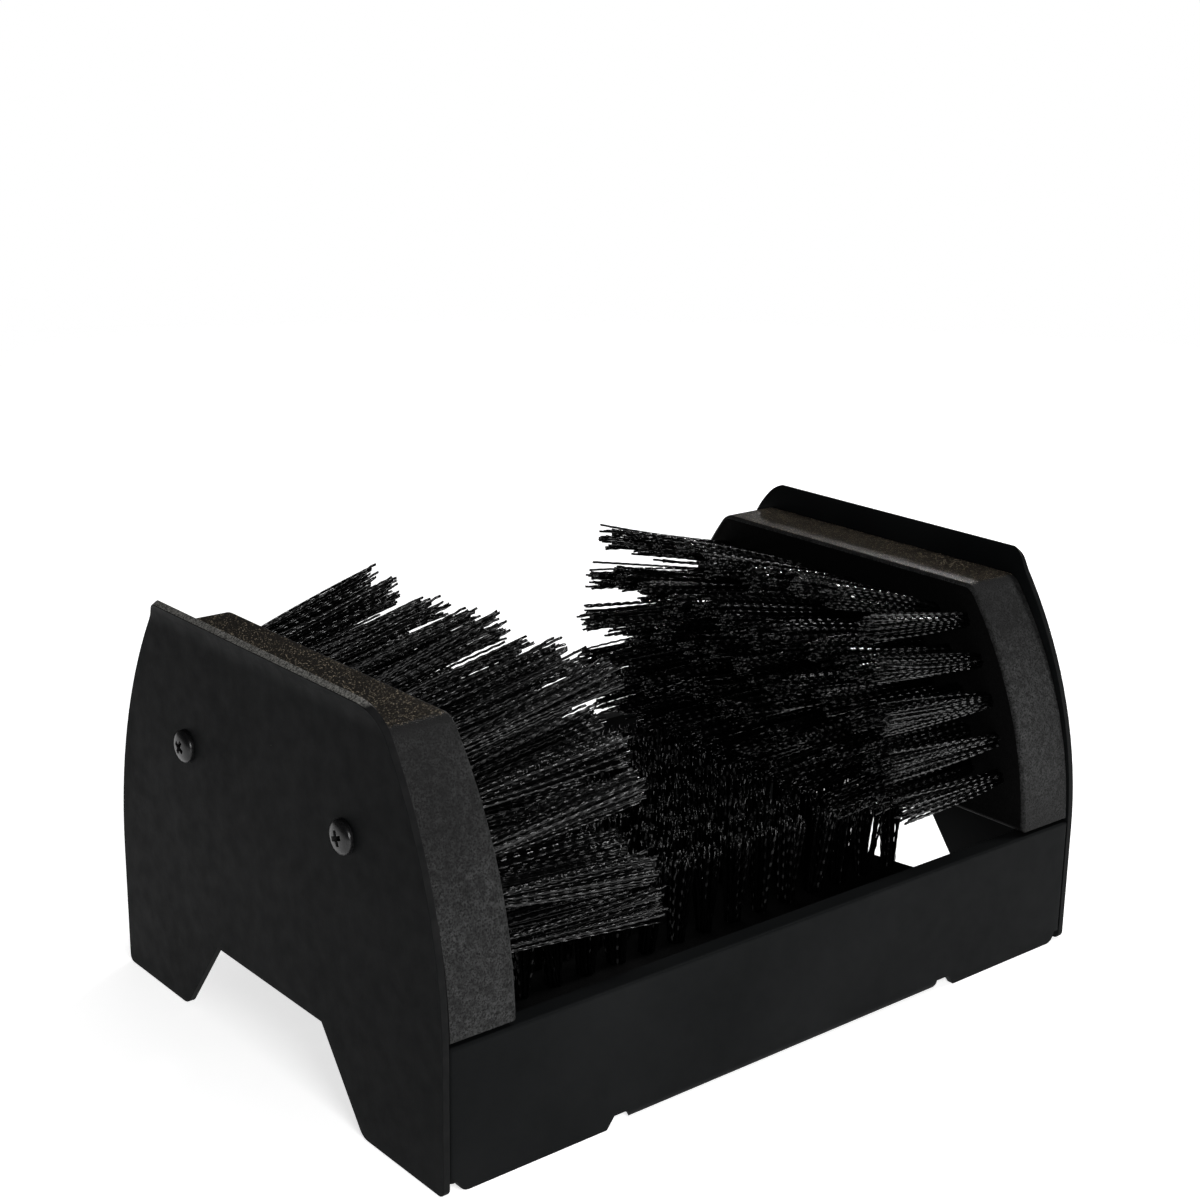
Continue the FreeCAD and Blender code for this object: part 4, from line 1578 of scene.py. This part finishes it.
@dataclass
class Brush:
    """What every brush has: its blocks, and the number, spacing, length and splay of its tufts."""

    blocks: BrushBlocks
    rows: int
    pitch: float
    margin: float
    length: float
    splay: float
    tip_share: float = 0.455

    def places(self, reach: float) -> list[float]:
        """Space a row's tufts evenly.

        Args:
            reach: How far the row reaches to either side.

        Returns:
            The tufts' places along the row.
        """
        count = round(2 * reach / self.pitch) + 1
        return [reach * (2 * step / (count - 1) - 1) for step in range(count)]

    def tufts(self, places: list[float], lean: float) -> list[Tuft]:
        """Set tufts at their places, splayed to both sides, with the row's own lean in degrees."""
        return [Tuft((place, 0.0), (self.splay * place / places[-1], lean)) for place in places]

    def stand(self, rows: Iterable[BristleRow]) -> None:
        """Make rows of tufts and put them on the frame.

        Args:
            rows: The rows.
        """
        points, faces = Strand(self.length).template()
        for row in rows:
            present(row.model(points, faces), STRAND, [row.node])


@dataclass
class SideBrushes(Brush):
    """The two side brushes: five rows each, fanned upward and outward."""

    rows: int = 5
    pitch: float = 0.014
    margin: float = 0.012
    length: float = 0.062
    splay: float = 4.5
    bottom_margin: float = 0.0182
    top_margin: float = 0.0139
    lift: float = 12.0
    lift_bend: float = 1.5
    highest: float = 0.1455

    def heights(self) -> list[float]:
        """Space the rows evenly.

        Returns:
            The heights of the rows.
        """
        low = self.blocks.side_bottom + self.bottom_margin
        high = self.blocks.side_top - self.top_margin
        return [low + (high - low) * index / (self.rows - 1) for index in range(self.rows)]

    def row(self, side: Side, index: int, height: float) -> BristleRow:
        """Lay out one row.

        Args:
            side: The side of the frame.
            index: The row's number from below.
            height: The row's height.

        Returns:
            The row.
        """
        places = self.places(self.blocks.side_reach(height) - self.margin)
        tufts = self.tufts(places, self.lift * (index / (self.rows - 1)) ** self.lift_bend)
        axes = upright(-side.value, -side.value, side.value * self.blocks.side_face, height)
        row_gap = self.heights()[1] - self.heights()[0]
        spread = (self.tip_share * (places[1] - places[0]), self.tip_share * row_gap)
        limit = (self.blocks.side_reach(self.blocks.side_straight), self.highest - height)
        name = f"{side.word}_bristles_{index + 1}"
        return BristleRow(name, tufts, self.length, axes, spread, limit, SEEDS[side.word] + index)

    def build(self) -> None:
        """Make the rows of both side brushes and put them on the frame."""
        numbered = list(enumerate(self.heights()))
        self.stand(self.row(side, index, height) for side in Side for index, height in numbered)


@dataclass
class BaseBrush(Brush):
    """The base brush: nine rows of shorter bristle that stand nearly upright."""

    rows: int = 9
    pitch: float = 0.0135
    margin: float = 0.0055
    length: float = 0.03348
    splay: float = 3.0
    rows_margin: float = 0.022

    def row(self, index: int) -> BristleRow:
        """Lay out one row.

        Args:
            index: The row's number from the front.

        Returns:
            The row.
        """
        far = self.blocks.base_half_depth - self.rows_margin
        depth = far * (2 * index / (self.rows - 1) - 1)
        places = self.places(self.blocks.base_reach(depth) - self.margin)
        tufts = self.tufts(places, self.splay * depth / far)
        axes = Matrix.Translation((0, depth, self.blocks.base_top))
        tip_depth = self.tip_share * 2 * far / (self.rows - 1)
        spread = (self.tip_share * (places[1] - places[0]), tip_depth)
        limit = (self.blocks.side_face - self.pitch, self.pitch)
        name = f"base_bristles_{index + 1}"
        return BristleRow(name, tufts, self.length, axes, spread, limit, SEEDS["base"] + index)

    def build(self) -> None:
        """Make the rows and put them on the frame."""
        self.stand(self.row(index) for index in range(self.rows))


@dataclass(frozen=True)
class Lamp:
    """A soft rectangular lamp: where it hangs, what it points at, its size and its watts."""

    name: str
    place: Place
    aim: Place
    size: tuple[float, float]
    power: float

    def hang(self) -> None:
        """Hang the lamp, unseen by the camera."""
        data = bpy.data.lights.new(self.name, "AREA")
        data.shape = "RECTANGLE"
        data.size, data.size_y = self.size
        data.energy = self.power
        light = bpy.data.objects.new(self.name, data)
        light.visible_camera = False
        bpy.context.scene.collection.objects.link(light)
        light.location = self.place
        away = Vector(self.place) - Vector(self.aim)
        light.rotation_euler = away.to_track_quat("Z", "Y").to_euler()


LAMPS = (
    Lamp("key", (0.9, -0.3, 1.3), (0, 0, 0.08), (0.3, 0.3), 9),
    Lamp("front", (0.9, -1.0, 0.12), (0, 0, 0.08), (0.35, 0.2), 5),
    Lamp("left", (-0.25, -0.5, 0.3), (-0.12, -0.1, 0.08), (0.2, 0.2), 1.6),
    Lamp("top", (0.3, 0.3, 1.9), (0, 0, 0), (1.0, 1.0), 7),
    Lamp("rim", (1.672, 1.059, 0.723), (0, 0, 0.14), (0.2, 0.2), 7),
)


@dataclass
class Studio:
    """The floor, the surroundings, the lamps and the camera, whose angles are in degrees."""

    azimuth: float = -39.67
    elevation: float = 16.31
    roll: float = 0.90
    distance: float = 0.5807
    target: Place = (-0.0931, -0.1058, 0.1779)
    focal_pixels: float = 2031.9
    picture_pixels: float = 1200
    sensor: float = 36.0
    clip_start: float = 0.01
    floor_size: float = 30.0
    floor_drop: float = 0.0002
    floor_cuts: int = 4
    soft_light: float = 0.04
    seen_light: float = 1.0

    def camera(self) -> None:
        """Set the camera at the photograph's place and turn."""
        side, rise = math.radians(self.azimuth), math.radians(self.elevation)
        back = Vector((math.sin(side) * math.cos(rise), -math.cos(side) * math.cos(rise), math.sin(rise)))
        right = Vector((0, 0, 1)).cross(back).normalized()
        up = back.cross(right)
        turn = math.radians(self.roll)
        tilted = right * math.cos(turn) + up * math.sin(turn)
        data = bpy.data.cameras.new("camera")
        data.sensor_fit = "HORIZONTAL"
        data.sensor_width = self.sensor
        data.lens = self.focal_pixels / self.picture_pixels * self.sensor
        data.clip_start = self.clip_start
        camera = bpy.data.objects.new("camera", data)
        bpy.context.scene.collection.objects.link(camera)
        axes = Matrix((tilted, back.cross(tilted), back)).transposed()
        place = Vector(self.target) + back * self.distance
        camera.matrix_world = Matrix.Translation(place) @ axes.to_4x4()
        bpy.context.scene.camera = camera

    def floor(self) -> None:
        """Lay the pale floor, just under the frame's feet."""
        put_down()
        bpy.ops.mesh.primitive_plane_add(size=self.floor_size, location=(0, 0, -self.floor_drop))
        floor = start("floor")
        pick_all()
        bpy.ops.mesh.subdivide(number_cuts=self.floor_cuts)
        put_down()
        settle(floor)
        floor.data.materials.append(FLOOR.material())

    def surroundings(self) -> None:
        """Make the white surroundings: white to the camera, softer as light."""
        scene = bpy.context.scene
        scene.view_settings.view_transform = "Standard"
        world = bpy.data.worlds.new("white_studio")
        world.use_nodes = True
        world.node_tree.nodes.clear()
        scene.world = world
        board = NodeBoard(world.node_tree)
        soft, seen = (
            board.add("ShaderNodeBackground", {"Color": (1, 1, 1, 1), "Strength": light}).outputs[0]
            for light in (self.soft_light, self.seen_light)
        )
        path = board.add("ShaderNodeLightPath").outputs["Is Camera Ray"]
        mix = board.add("ShaderNodeMixShader", {"Fac": path, 1: soft, 2: seen})
        board.add("ShaderNodeOutputWorld", {"Surface": mix.outputs[0]})

    def build(self) -> None:
        """Set up the whole studio."""
        self.surroundings()
        self.floor()
        for lamp in LAMPS:
            lamp.hang()
        self.camera()


def main() -> None:
    """Build every sub-assembly in order, then the studio."""
    logging.basicConfig(level=logging.INFO, format="%(name)s: %(message)s")
    SidePlates().build()
    BaseChannel().build()
    blocks = BrushBlocks()
    blocks.build()
    Screws().build()
    SideBrushes(blocks).build()
    BaseBrush(blocks).build()
    Studio().build()


if __name__ == "__main__":
    main()
